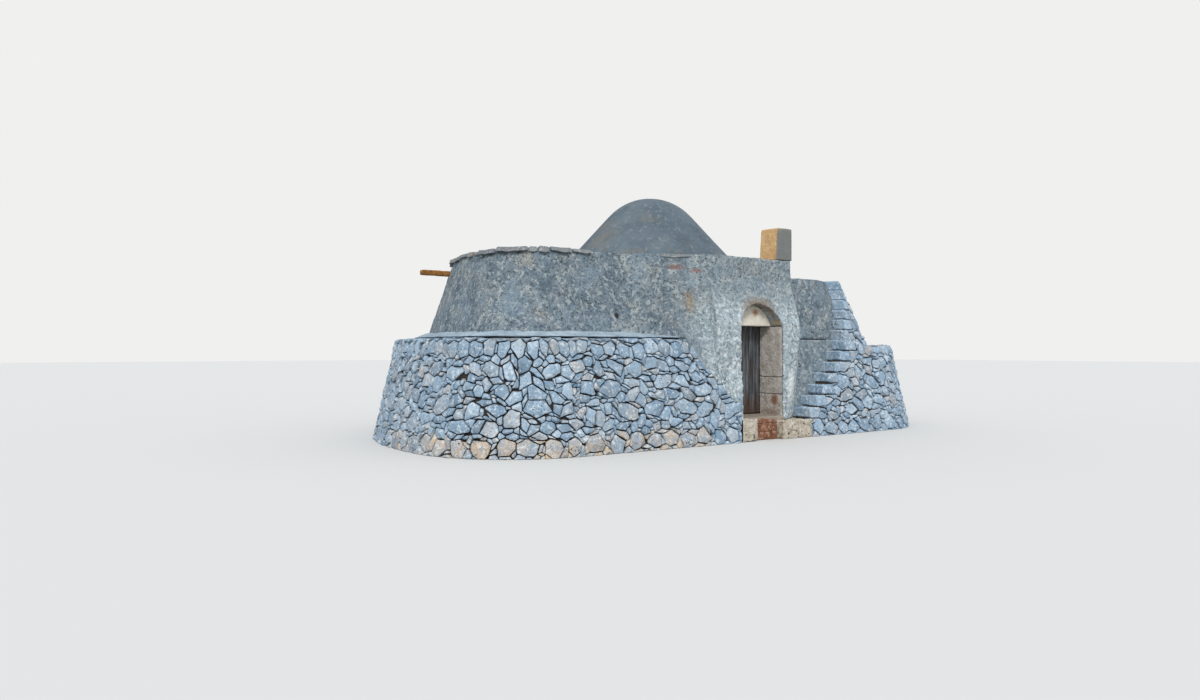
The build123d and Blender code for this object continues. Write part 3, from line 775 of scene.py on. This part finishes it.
def faceOut():
    bpy.ops.mesh.normals_make_consistent(inside=False)


def modified(made, kind, **settings):
    # one modifier on the active object, applied
    modifier = made.modifiers.new(kind, kind)
    for key, value in settings.items():
        setattr(modifier, key, value)
    bpy.ops.object.modifier_apply(modifier=modifier.name)


def marked(mesh, mark, values):
    layer = mesh.attributes.new(mark, "FLOAT", "POINT")
    layer.data.foreach_set("value", np.array(values, np.float32))


def finished(made, material, replaced, smooth=None, body="house"):
    only(made)
    inEdit(faceOut)
    if smooth is None:
        bpy.ops.object.shade_smooth()
    else:
        bpy.ops.object.shade_smooth_by_angle(angle=math.radians(smooth))
    made.data.materials.clear()
    made.data.materials.append(material)
    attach(made, body)
    if replaced:
        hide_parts(*replaced)
    return made


def weathered(
    name, names, voxel, material, shape, ease=2, replace=True, marks=None, under=(), more=(),
):
    # copies of CAD nodes under one even skin, whose points then move along their normals;
    # the skin runs on over the nodes in "under", which other pieces replace
    made = joined([*more, *(copied(name, nodes[source].data) for source in (*names, *under))], name)
    modified(made, "REMESH", mode="VOXEL", voxel_size=voxel)
    if ease:
        modified(made, "SMOOTH", factor=0.5, iterations=ease)
    mesh = made.data
    for attribute in [a.name for a in mesh.attributes if a.name.startswith("UV")]:
        mesh.attributes.remove(mesh.attributes[attribute])
    points, sides = np.zeros(len(mesh.vertices) * 3), np.zeros(len(mesh.vertices) * 3)
    mesh.vertices.foreach_get("co", points)
    mesh.vertex_normals.foreach_get("vector", sides)
    points, sides = points.reshape(-1, 3), sides.reshape(-1, 3)
    moves = np.array([shape(Vector(p), n) for p, n in zip(points, sides)])
    points = np.clip(points + sides * moves[:, None], boxLow, boxHigh)
    mesh.vertices.foreach_set("co", points.ravel())
    for mark, rule in (marks or {}).items():
        marked(mesh, mark, [rule(p) for p in points])
    mesh.update()
    return finished(made, material, names if replace else ())


def lumps(point, size, shift=0):
    return noise.noise(point / size + Vector((shift, shift * 0.7, shift * 1.3)))


def waves(inset, *layers):
    # a shape for weathered(): an even inset, with lumps of a height, size and shift over it
    return lambda p, n: inset + sum(height * lumps(p, *layer) for height, *layer in layers)


def eased(value):
    value = min(1, max(0, value))
    return value * value * (3 - 2 * value)


def seams(point, size, width):
    # 1 along the joints of rubble that shows through, 0 on its stones
    near = noise.voronoi(point / size)[0]
    return max(0, 1 - (near[1] - near[0]) / width)


# the skirt and the first flight

skirtNodes = ("skirt_front_left", "skirt_left", "skirt_back", "skirt_right")
stepNodes = tuple(f"step_{k}" for k in range(1, 8))
stairLow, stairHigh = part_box("stair_foot_course")
stairLeft, stairRight, footTop = stairLow.x, stairHigh.x, stairHigh.z
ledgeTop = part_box("skirt_left")[1].z
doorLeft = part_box("threshold_slab")[0].x
skirtLine, skirtNormal = outlineOf(skirtNodes, 0, stairLeft)
roundLength = len(skirtLine) * spacing
# the heights at which the face is measured, and the points of the path's end, by the doorway
measured = {"low": 0.03, "foot": 0.3, "end": 40, "front": 60}
footFace = wallFace(
    skirtNodes + ("stair_foot_course",), skirtLine, skirtNormal, measured["low"], measured["foot"],
)
skirtFace = wallFace(skirtNodes, skirtLine, skirtNormal, measured["low"], ledgeTop - measured["low"])
# above the first flight there is no skirt, so the face there carries on from its foot
away = int((stairRight - stairLeft) / spacing) + 1
rise = (skirtFace["heights"][1] - measured["low"]) / (measured["foot"] - measured["low"])
carried = footFace["low"] + (footFace["high"] - footFace["low"]) * rise
skirtFace["high"][:away] = carried[:away]
skirtFace["high"][-measured["end"]:] = carried[-measured["end"]:]
skirtFace["low"] = footFace["low"]


def alongAt(x):
    # how far along the path the front stands at x, left of the doorway
    last = np.arange(len(skirtLine) - measured["front"], len(skirtLine))
    return float(np.interp(x, skirtLine[last, 0], last * spacing))


skirtEnd = alongAt(doorLeft)
# the splay beside the doorway, and the slanting edge where plaster covers the stones
splay = {"foot": -1.17, "top": 1.26}
plasterEdge = ((-1.03, 0.55), (-2.15, 1.7))
splaySlope = (doorLeft - splay["foot"]) / splay["top"]
edgeRun, edgeRise = plasterEdge[0][0] - plasterEdge[1][0], plasterEdge[1][1] - plasterEdge[0][1]
edgeLength = math.hypot(edgeRun, edgeRise)
edgeLimit = (edgeRise * alongAt(plasterEdge[0][0]) + edgeRun * plasterEdge[0][1]) / edgeLength
doorCuts = (
    (1, -splaySlope, alongAt(splay["foot"]) - 0.012),
    (edgeRise / edgeLength, edgeRun / edgeLength, edgeLimit + 0.1),
)

skirt = {
    "gap": 0.008, "deep": 0.11, "deepTop": 0.3, "lean": 0.16, "uneven": 0.045, "foot": 0.3, "small": 0.09,
    # how far back from the path's end the warm foot stones lie
    "warm": (9.5, 2.6),
    # each size's radius and tries, and the courses' height, least and most half width and half height
    "sizes": ((0.17, 0.2), (0.14, 0.5), (0.11, 1.6), (0.08, 4), (0.055, 3), (0.038, 1.5)),
    "courses": ((1.62, 0.075, 0.15, 0.17), (0.15, 0.13, 0.21, 0.15)),
}
dice = random.Random(4)
fixed = []
# the top course stands on end and leans here and there, the foot course is large and flat
for height, low, high, tall in skirt["courses"]:
    along = 0.1
    while along < skirtEnd:
        half = dice.uniform(low, high)
        lean = math.pi / 2 + dice.gauss(0, skirt["lean"])
        middle = height + dice.uniform(-0.03, 0.03)
        fixed.append((along + half, middle, math.sqrt(half * tall), tall / half, lean))
        along += 2 * half + dice.uniform(0, 0.03)
endStones = []
for name in stepNodes:
    low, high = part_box(name)
    endStones.append((low.x - stairLeft, dice.uniform(0.27, 0.37), low.z, high.z))
stepBlocks = [(-1, start + wide, low, high) for start, wide, low, high in endStones]
blockLow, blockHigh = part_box("threshold_block")
doorBlock = (skirtEnd - (doorLeft - blockLow.x) + 0.05, skirtEnd + 1, -1, blockHigh.z)
outlines = stoneOutlines(
    (0, skirtEnd, 0, ledgeTop), skirt["sizes"], 11, skirt["gap"], fixed, (*stepBlocks, doorBlock),
)
print("skirt stones", len(outlines))
heaps = {name: Heap() for name in skirtNodes + ("stair_foot_course",) + stepNodes}
leftEnd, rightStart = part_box("skirt_left")[1].x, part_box("skirt_right")[0].x
# how far the rim has sunk, and where the sinking starts and over what length, across and into the depth
sag = {"deep": 0.1, "x": 2.2, "overX": 1.1, "y": -0.4, "overY": 1.2}


def nodeAt(along, height):
    x, y = onWall(skirtFace, np.array([[along, height, 0]]))[0][:2]
    if along < stairRight - stairLeft:
        if height < footTop:
            return "stair_foot_course"
        for name in stepNodes:
            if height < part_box(name)[1].z:
                return name
    if x < leftEnd:
        return "skirt_left"
    if x > rightStart:
        return "skirt_right"
    return "skirt_front_left" if y < 0 else "skirt_back"


def sagged(x, y):
    # the ledge's rim has sunk at the right end of the front
    return sag["deep"] * eased((x - sag["x"]) / sag["overX"]) * eased((sag["y"] - y) / sag["overY"])


for polygon in outlines:
    place = onWall(skirtFace, np.array([[polygon[0][0], ledgeTop, 0]]))[0]
    rim = ledgeTop - sagged(*place[:2])
    top = extent(polygon)[3] > rim - 0.02
    if top:
        # the tops of the upper course are uneven
        polygon = clipped(polygon, 0, 1, rim - dice.uniform(0, skirt["uneven"]))
    for nx, ny, limit in doorCuts:
        if len(polygon) > 2 and extent(polygon)[1] > skirtEnd - 2:
            polygon = clipped(polygon, nx, ny, limit)
    if len(polygon) < 3:
        continue
    along = sum(x for x, y in polygon) / len(polygon)
    height = sum(y for x, y in polygon) / len(polygon)
    foot = height < skirt["foot"]
    behind = roundLength - along
    warmFoot = foot and skirt["warm"][1] < behind < skirt["warm"][0]
    warm = dice.random() ** 3 * 0.6 + (dice.uniform(0.3, 1) if warmFoot else 0)
    pitted = dice.choice((0, 0.2, 0.6, 1)) if (top or foot) else dice.choice((0, 0, 0.15, 0.4, 0.9))
    out = -dice.uniform(0, 0.008) if foot else dice.uniform(-0.022, 0.006)
    left, right, low, high = extent(polygon)
    if right - left < skirt["small"]:
        out -= 0.006
    # stones whose backs can be seen, at the rim and beside the doorway, go in deeper
    seen = top or right > skirtEnd - 0.35
    heaps[nodeAt(along, height)].stone(
        polygon, dice, deep=skirt["deepTop"] if seen else skirt["deep"], out=out,
        marks=(dice.random(), warm, pitted), flatBack=0.97 if seen else 0.86,
    )
# each step is an outer and an inner stone
step = {"cleft": (0.16, 0.25), "joint": 0.006, "deep": 0.43}
for (start, wide, low, high), name in zip(endStones, stepNodes):
    cleft = dice.uniform(*step["cleft"])
    for near, far in ((0, cleft), (cleft + step["joint"], step["deep"])):
        polygon = [
            (start + dice.uniform(0, 0.015), low + dice.uniform(0.003, 0.02)), (start + wide, low + 0.006),
            (start + wide, high - dice.uniform(0, 0.02)),
            (start + dice.uniform(0, 0.03), high - dice.uniform(0, 0.02)),
        ]
        heaps[name].stone(
            polygon, dice, deep=far - near, out=-near - dice.uniform(0, 0.006), cut=0.024, tilt=0.03,
            marks=(dice.uniform(0.3, 0.9), dice.random() * 0.2, dice.choice((0, 0.3))), flatBack=0.98,
        )
for name, heap in heaps.items():
    heap.piece("stones_" + name, skirtFace, dryStone, "dry_stone", (name,))
print("skirt done")


# the second flight, whose foot goes down to where the ledge has sunk

flight = {
    "steps": 6, "wide": (0.24, 0.34), "stepDeep": 0.5, "deep": 0.27, "gap": 0.009, "sunk": 0.13,
    "inset": 0.02, "sizes": ((0.125, 1.5), (0.09, 3), (0.06, 4)),
}
lowerWalls = tuple(f"lower_wall_{side}" for side in ("right", "back", "left", "front_left", "front_right"))
upperLine, upperNormal = outlineOf(lowerWalls, ledgeTop, stairLeft)
flightTree = treeOf(("upper_steps",))
flightLow, flightHigh = (corner.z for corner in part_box("upper_steps"))
bandHeight = (flightHigh - flightLow) / flight["steps"]
bands = []
for k in range(flight["steps"]):
    middle = flightLow + (k + 0.5) * bandHeight
    hits = castLine(flightTree, upperLine, upperNormal, middle)
    found = np.flatnonzero(~np.isnan(hits[:, 0])) * spacing
    bands.append((found[0], found[-1], middle - bandHeight / 2, middle + bandHeight / 2))
flightFace = wallFace(
    ("upper_steps",), upperLine, upperNormal,
    flightLow + flight["inset"], flightLow + bandHeight - flight["inset"],
)
heap = Heap()
dice = random.Random(8)
flightBlocks = []
for start, end, low, high in bands:
    end = start + dice.uniform(*flight["wide"])
    flightBlocks.append((-1, end, low, high))
    foot = low - (flight["sunk"] if low == bands[0][2] else 0)
    polygon = [(start, foot + 0.004), (end, foot + 0.008), (end, high - 0.006), (start, high)]
    heap.stone(
        polygon, dice, deep=flight["stepDeep"], out=dice.uniform(-0.02, 0), cut=0.03, tilt=0.05,
        marks=(dice.random(), dice.random() * 0.3, dice.choice((0, 0.4))), flatBack=0.98,
    )
outlines = stoneOutlines(
    (bands[0][0], min(band[1] for band in bands), flightLow - flight["sunk"], flightHigh),
    flight["sizes"], 5, flight["gap"], (), flightBlocks,
)
for polygon in outlines:
    heap.stone(
        polygon, dice, deep=flight["deep"], out=dice.uniform(-0.03, 0.015), cut=0.03,
        marks=(dice.random(), dice.random() ** 2 * 0.5, dice.choice((0, 0.2, 0.6))), flatBack=0.92,
    )
heap.piece("stones_upper_steps", flightFace, dryStone, "dry_stone", ("upper_steps",))
print("second flight", len(outlines))


# dark fill behind the joints, its near-black painted as their shade, with the ledge's bed of mortar on top,
# and a finer one in the steps' corners

fill = {
    "voxel": 0.09, "stepVoxel": 0.038, "inset": 0.065, "bed": 0.022, "stepInset": 0.04, "flightInset": 0.09,
}


def fillShape(p, n):
    if n[2] > 0.8 and ledgeTop - 0.1 < p.z < ledgeTop + 0.1:
        return -fill["bed"] - sagged(p.x, p.y) + 0.012 * lumps(p, 0.15)
    return -fill["inset"]


weathered(
    "rubbleFill", skirtNodes, fill["voxel"], jointEarthAndShade, fillShape, ease=0, replace=False,
    marks={"top": lambda p: 1 if ledgeTop - 0.05 - sagged(p[0], p[1]) < p[2] < ledgeTop + 0.1 else 0},
)
weathered(
    "stepFill", ("stair_foot_course", "upper_steps") + stepNodes, fill["stepVoxel"], jointEarthAndShade,
    lambda p, n: -fill["stepInset"] if p.z < ledgeTop else -fill["flightInset"],
    ease=0, replace=False,
)
print("fill done")


# plastered walls

parapetNodes = ("parapet_front", "parapet_left", "parapet_back")
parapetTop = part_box("parapet_left")[1].z
handOver = {"x": -2.65, "over": 0.3, "sink": 0.035}


def coarse(p):
    # rubble stands out a little under the plaster, more in some places
    bare = min(1, max(0, 0.5 + 1.6 * lumps(p, 1.1, 3)))
    move = -0.006 + 0.02 * lumps(p, 0.6) + 0.01 * lumps(p, 0.17, 5) + 0.005 * lumps(p, 0.07, 9)
    return move - 0.016 * bare * seams(p, 0.2, 0.22)


def underSlabs(p, n):
    # room for the rim slabs
    return 0.045 if n[2] > 0.5 and p.z > parapetTop - 0.05 and not (-1.6 < p.x < 0.8 and p.y < -2.5) else 0


def wallShape(p, n):
    # the coarse skin sinks below the portal's finer one
    inside = p.y < -2 and p.x < 0.62
    sink = handOver["sink"] * eased((p.x - handOver["x"]) / handOver["over"]) if inside else 0
    return coarse(p) - sink - underSlabs(p, n)


def portalShape(p, n):
    fine = -0.002 + 0.012 * lumps(p, 0.45) + 0.007 * lumps(p, 0.11, 5) + 0.003 * lumps(p, 0.045, 9)
    near = eased((p.x + 2.3) / 0.8)
    sink = handOver["sink"] * eased((handOver["x"] - p.x) / handOver["over"])
    # over the skirt's stones the plaster is proud of them and ragged at its edge
    proud = 0.01 + 0.02 * lumps(p, 0.08, 2) if p.x < -0.93 and p.y < -3.45 and p.z < 1.75 else 0
    return coarse(p) * (1 - near) + fine * near - sink - underSlabs(p, n) + proud


def chalky(p):
    # palest on the portal's piers, less so over the arch and on the wall beside it
    if p[1] > -2 or p[0] > 0.75:
        return 0
    return eased((p[0] + 2.2) / 0.9) * (1 - 0.8 * eased((p[2] - 2.1) / 0.6))


weathered(
    "upperWall",
    ("upper_wall_front_right", "upper_wall_left", "upper_wall_right", "upper_wall_back", "parapet_left",
     "parapet_back"),
    0.042, limePlaster, wallShape, under=("upper_wall_front_left", "parapet_front"),
    marks={"brown": lambda p: eased((p[0] - 0.6) * 3) if p[1] < -0.5 else 0, "pale": chalky},
)

# the part of the skirt that the portal's plaster covers, cut out of a copy of the node
(edgeFootX, edgeFootZ), (edgeTopX, edgeTopZ) = plasterEdge
plasterOutline = (
    (splay["foot"] + 0.06, 0.36), (edgeFootX - 0.02, edgeFootZ), (edgeTopX, edgeTopZ),
    (edgeTopX - 0.15, ledgeTop + 0.1), (doorLeft + 0.1, ledgeTop + 0.1), (doorLeft + 0.1, 0.36),
)
bpy.ops.object.select_all(action="DESELECT")
bpy.ops.mesh.primitive_cylinder_add(vertices=6, depth=1)
prism = bpy.context.active_object
for vertex in prism.data.vertices:
    x, z = plasterOutline[vertex.index // 2]
    vertex.co = (x, -4.2 if vertex.co.z > 0 else -3.35, z)
inEdit(faceOut)
covered = copied("coveredSkirt", nodes["skirt_front_left"].data)
only(covered)
modified(covered, "BOOLEAN", operation="INTERSECT", solver="EXACT", object=prism)
bpy.data.objects.remove(prism)
print("covered part of the skirt", len(covered.data.vertices))
weathered(
    "portalPlaster",
    ("portal_left_pier", "portal_right_pier", "portal_head", "portal_capping", "upper_wall_front_left",
     "parapet_front"),
    0.022, limePlaster, portalShape, ease=3, more=(covered,), marks={"pale": chalky},
)
weathered(
    "stairInnerWall", ("stair_inner_wall",), 0.025, limePlaster,
    lambda p, n: 0.012 * lumps(Vector((p.x, p.y, p.z * 0.3)), 0.12, 2) + 0.008 * lumps(p, 0.4),
    marks={"pale": lambda p: 0.1},
)

# flat slabs along the parapet's rim, their ends uneven, a few of them reddish
rimLine, rimNormal = outlineOf(parapetNodes, parapetTop, stairLeft)
rimHits = castLine(treeOf(parapetNodes), rimLine, rimNormal, parapetTop - 0.05)
rimAway = np.hypot(*(rimHits - rimLine).T)
# the parapet ends where its face strays from the path, and the portal's half width has no slabs
slab = {
    "stray": 0.15, "portal": 1.5, "wide": (0.14, 0.55), "thick": (0.055, 0.08), "deep": 0.34, "seam": 0.012,
    "out": (-0.005, 0.045), "leftMore": 0.03, "redLeftOf": -4.2, "redShare": 0.6,
}
rimFound = np.flatnonzero(rimAway < slab["stray"])
rimFace = wallFace(parapetNodes, rimLine, rimNormal, parapetTop - 0.15, parapetTop - 0.02)
heap = Heap()
dice = random.Random(21)
along = rimFound[0] * spacing
while along < rimFound[-1] * spacing:
    wide = dice.uniform(*slab["wide"])
    x, y = onWall(rimFace, np.array([[along + wide / 2, parapetTop, 0]]))[0][:2]
    high = parapetTop - dice.uniform(0, 0.03)
    thick = slab["leftMore"] * eased((-3.2 - x) / 1.2)
    low = parapetTop - dice.uniform(*slab["thick"]) - thick
    index = int((along + wide / 2) / spacing)
    if rimAway[index] < slab["stray"] and not (abs(x) < slab["portal"] and y < 0):
        polygon = [
            (along, low + dice.uniform(0, 0.02)),
            (along + wide * dice.uniform(0.3, 0.7), low - slab["seam"]),
            (along + wide - slab["seam"], low + dice.uniform(0, 0.02)),
            (along + wide - dice.uniform(0.01, 0.05), high - dice.uniform(0, 0.012)),
            (along + dice.uniform(0, 0.04), high),
        ]
        reddish = x < slab["redLeftOf"] and dice.random() < slab["redShare"]
        red = dice.uniform(0.5, 1) if reddish else dice.random() * 0.2
        heap.stone(
            polygon, dice, deep=slab["deep"], out=dice.uniform(*slab["out"]) + thick, tilt=0.03,
            marks=(dice.random() * 0.45, red, dice.choice((0, 0.3))), crown=0.006, flatBack=0.93,
        )
    along += wide
heap.piece("rimSlabs", rimFace, rimStone, "dry_stone", ())
print("rim slabs done")


# small pieces, each a weathered copy of its node

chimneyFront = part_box("chimney")[0].y
riser = {"slab": 0.29, "bed": 0.15, "joints": (-0.56, -0.4, -0.27), "joint": 0.011, "deep": 0.03}
footJoint = {"x": 0.27, "wide": 0.02, "deep": 0.05}
riserRough = waves(-0.003, (0.008, 0.1), (0.003, 0.03, 3))
footRough = waves(-0.006, (0.014, 0.16), (0.006, 0.05, 3))


def riserShape(p, n):
    # a flat slab over small stones in two rows
    sway = 0.02 * lumps(p, 0.12, 7)
    row = 0.05 if p.z < riser["bed"] else 0
    lines = [abs(p.z + sway - riser["slab"]), abs(p.z + sway - riser["bed"])]
    if p.z < riser["slab"]:
        lines += [abs(p.x + sway + row - x) for x in riser["joints"]]
    joint = max(0, 1 - min(lines) / riser["joint"])
    return riserRough(p, n) - riser["deep"] * joint


def footShape(p, n):
    # two blocks with one joint
    joint = max(0, 1 - abs(p.x - footJoint["x"] - 0.03 * lumps(p, 0.1)) / footJoint["wide"])
    return footRough(p, n) - footJoint["deep"] * joint


# each jamb stone is rounded and lumped all over, with lumps of its own
for name, node, voxel, material, slotName, shape, ease, marks in (
    ("domeRender", "dome", 0.055, domeRender, "dome_render", waves(-0.004, (0.004, 0.7)), 12, None),
    ("ledgeMortar", "ledge_fillet", 0.028, mortar, "mortar",
     waves(-0.002, (0.014, 0.4), (0.006, 0.1, 4)), 1, None),
    # on the chimney the "pale" marks rise over its front face, which the tufa paints grey as shade
    ("chimneyTufa", "chimney", 0.014, tufa, "tufa", waves(-0.001, (0.005, 0.2), (0.002, 0.05, 4)), 2,
     {"pale": lambda p: eased((chimneyFront + 0.05 - p[1]) / 0.04)}),
    ("rainSpout", "rain_spout", 0.011, spoutStone, "spout_stone",
     waves(-0.001, (0.006, 0.12), (0.002, 0.03, 4)), 2, None),
    ("halfDisc", "arch_stone", 0.013, creamStone, "cream_stone", waves(-0.002, (0.003, 0.2)), 2, None),
    *((f"jambStone{k}", f"jamb_stone_{k}", 0.013, dressedStone, "dressed_stone",
       waves(-0.005, (0.008, 0.15, k), (0.004, 0.05)), 6, None) for k in (1, 2, 3)),
    ("thresholdSlab", "threshold_slab", 0.02, floorStone, "floor_stone",
     waves(-0.003, (0.007, 0.2)), 3, None),
    ("thresholdBlock", "threshold_block", 0.014, porousStone, "porous_stone",
     waves(-0.006, (0.012, 0.13), (0.006, 0.04, 3)), 5, None),
    ("riserStones", "riser_stones", 0.011, redStone, "red_stone", riserShape, 4, None),
    ("footBlock", "foot_block", 0.016, porousStone, "porous_stone", footShape, 4, None),
):
    weathered(name, (node,), voxel, material, shape, ease=ease, marks=marks)
print("weathered pieces done")


# the door's boards: one modelled with worn edges, then copied, each with its own warp

leafLow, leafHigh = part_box("door_leaf")
plank = {"count": 7, "gap": 0.004, "thick": 0.04, "edge": 0.005, "back": 0.002, "rotten": 0.006}
warp = {"narrower": 0.012, "front": 0.002, "step": 0.001}
nailed = {"radius": 0.008, "inset": 0.055, "side": 0.25, "proud": 0.0055, "astray": (0.008, 0.02)}
boardWide = (leafHigh.x - leafLow.x) / plank["count"]
tall = leafHigh.z - leafLow.z
bpy.ops.object.select_all(action="DESELECT")
bpy.ops.mesh.primitive_cube_add(size=1)
board = bpy.context.active_object
inEdit(
    lambda: bpy.ops.transform.resize(value=(boardWide - plank["gap"], plank["thick"], tall - plank["gap"])),
    lambda: bpy.ops.mesh.subdivide(number_cuts=9),
)
modified(board, "BEVEL", width=plank["edge"], segments=2, limit_method="ANGLE")
boards = [board] + [copied("doorBoards", board.data) for _ in range(1, plank["count"])]
middleY = leafHigh.y - plank["thick"] / 2 - plank["back"]
for k, made in enumerate(boards):
    centreX = leafLow.x + (k + 0.5) * boardWide
    foot = plank["rotten"] * (1 + lumps(Vector((k, 0, 0)), 0.7, 2))
    for vertex in made.data.vertices:
        x, y, z = vertex.co
        place = Vector((x + 3 * k, y, z * 0.4))
        bend = warp["front"] * lumps(place, 0.12, 5) * (1 if y < 0 else 0.3)
        vertex.co = (
            centreX + x * (1 - warp["narrower"] * abs(lumps(place, 0.2))),
            middleY + y + bend + warp["step"] * (k % 2),
            (leafLow.z + leafHigh.z) / 2 + max(z, -tall / 2 + foot),
        )
finished(joined(boards, "doorBoards"), oldWood, ("door_leaf",), 25, "door")

# nail heads in rows over the ledgers
rowLow, rowHigh = (corner.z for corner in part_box("door_ledgers"))
firstRow, lastRow = rowLow + nailed["inset"], rowHigh - nailed["inset"]
bpy.ops.object.select_all(action="DESELECT")
bpy.ops.mesh.primitive_uv_sphere_add(segments=8, ring_count=4, radius=nailed["radius"])
nail = bpy.context.active_object
inEdit(lambda: bpy.ops.transform.resize(value=(1, 0.5, 1)))
nails = []
dice = random.Random(6)
strayX, strayZ = nailed["astray"]
for row in (firstRow, (firstRow + lastRow) / 2, lastRow):
    for k in range(plank["count"]):
        for side in (-nailed["side"], nailed["side"]):
            copy = copied("doorNails", nail.data)
            shift = Vector((
                leafLow.x + (k + 0.5 + side) * boardWide + dice.uniform(-strayX, strayX),
                leafLow.y + nailed["proud"], row + dice.uniform(-strayZ, strayZ),
            ))
            for vertex in copy.data.vertices:
                vertex.co += shift
            nails.append(copy)
bpy.data.objects.remove(nail)
finished(joined(nails, "doorNails"), rustedIron, (), 40, "door")
print("door done")

# nodes that show as they are
for name, material in (
    ("stone_floor", floorStone), ("door_ledgers", oldWood), ("door_straps", rustedIron),
    ("door_pintles", rustedIron), *((name, limePlaster) for name in ("passage_roof", *lowerWalls)),
):
    nodes[name].data.materials.clear()
    nodes[name].data.materials.append(material)


# studio: a pale floor, a soft sun from the upper left and an even sky

studio = {
    "floorSeen": "#d2d2d0", "floorLight": "#9a9994", "sky": "#f2f6fb", "skyStrength": 0.95,
    "backdrop": "#f0f0ef", "sun": 1.7, "sunColour": (1, 0.98, 0.95), "sunSize": 16, "sunTurn": (50, 0, -34),
}
bpy.ops.mesh.primitive_plane_add(size=240, location=(0, 0, 0))
floor = bpy.context.active_object
floor.name = "studioFloor"
floorMaterial = bpy.data.materials.new("studioFloor")
floorMaterial.use_nodes = True
floorTree = floorMaterial.node_tree
# pale to the camera, and darker to the light that it throws back up at the walls
floorSeen = add(floorTree, "LightPath", out="Is Camera Ray")
floorColour = add(
    floorTree, "Mix", {0: floorSeen, 6: linear(studio["floorLight"]), 7: linear(studio["floorSeen"])}, 2,
    data_type="RGBA",
)
floorTree.links.new(floorColour, floorTree.nodes["Principled BSDF"].inputs["Base Color"])
floorTree.nodes["Principled BSDF"].inputs["Roughness"].default_value = 1
floor.data.materials.append(floorMaterial)
floor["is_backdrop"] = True
world = bpy.data.worlds.new("studio")
world.use_nodes = True
sky = world.node_tree
light = add(sky, "Background", {0: linear(studio["sky"]), 1: studio["skyStrength"]})
backdrop = add(sky, "Background", {0: linear(studio["backdrop"]), 1: 1})
isCamera = add(sky, "LightPath", out="Is Camera Ray")
chosen = add(sky, "MixShader", {0: isCamera, 1: light, 2: backdrop})
sky.links.new(chosen, sky.nodes["World Output"].inputs[0])
scene.world = world
sun = bpy.data.lights.new("sun", "SUN")
sun.energy = studio["sun"]
sun.color = studio["sunColour"]
sun.angle = math.radians(studio["sunSize"])
linked("sun", sun).rotation_euler = [math.radians(turn) for turn in studio["sunTurn"]]

camera = {"x": -12.44, "y": -14.83, "height": 1.6, "turn": 36.85, "focal": 901 / 1200 * 36}
cameraData = bpy.data.cameras.new("photoCamera")
cameraData.sensor_width = 36
cameraData.lens = camera["focal"]
cameraObject = linked("photoCamera", cameraData)
cameraObject.location = (camera["x"], camera["y"], camera["height"])
cameraObject.rotation_euler = (math.radians(90), 0, -math.radians(camera["turn"]))
scene.camera = cameraObject
scene.view_settings.view_transform = "Standard"

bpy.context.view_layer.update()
for o in sorted(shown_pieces(), key=lambda o: -len(o.data.polygons))[:12]:
    print(o.name, sum(len(p.vertices) - 2 for p in o.data.polygons))
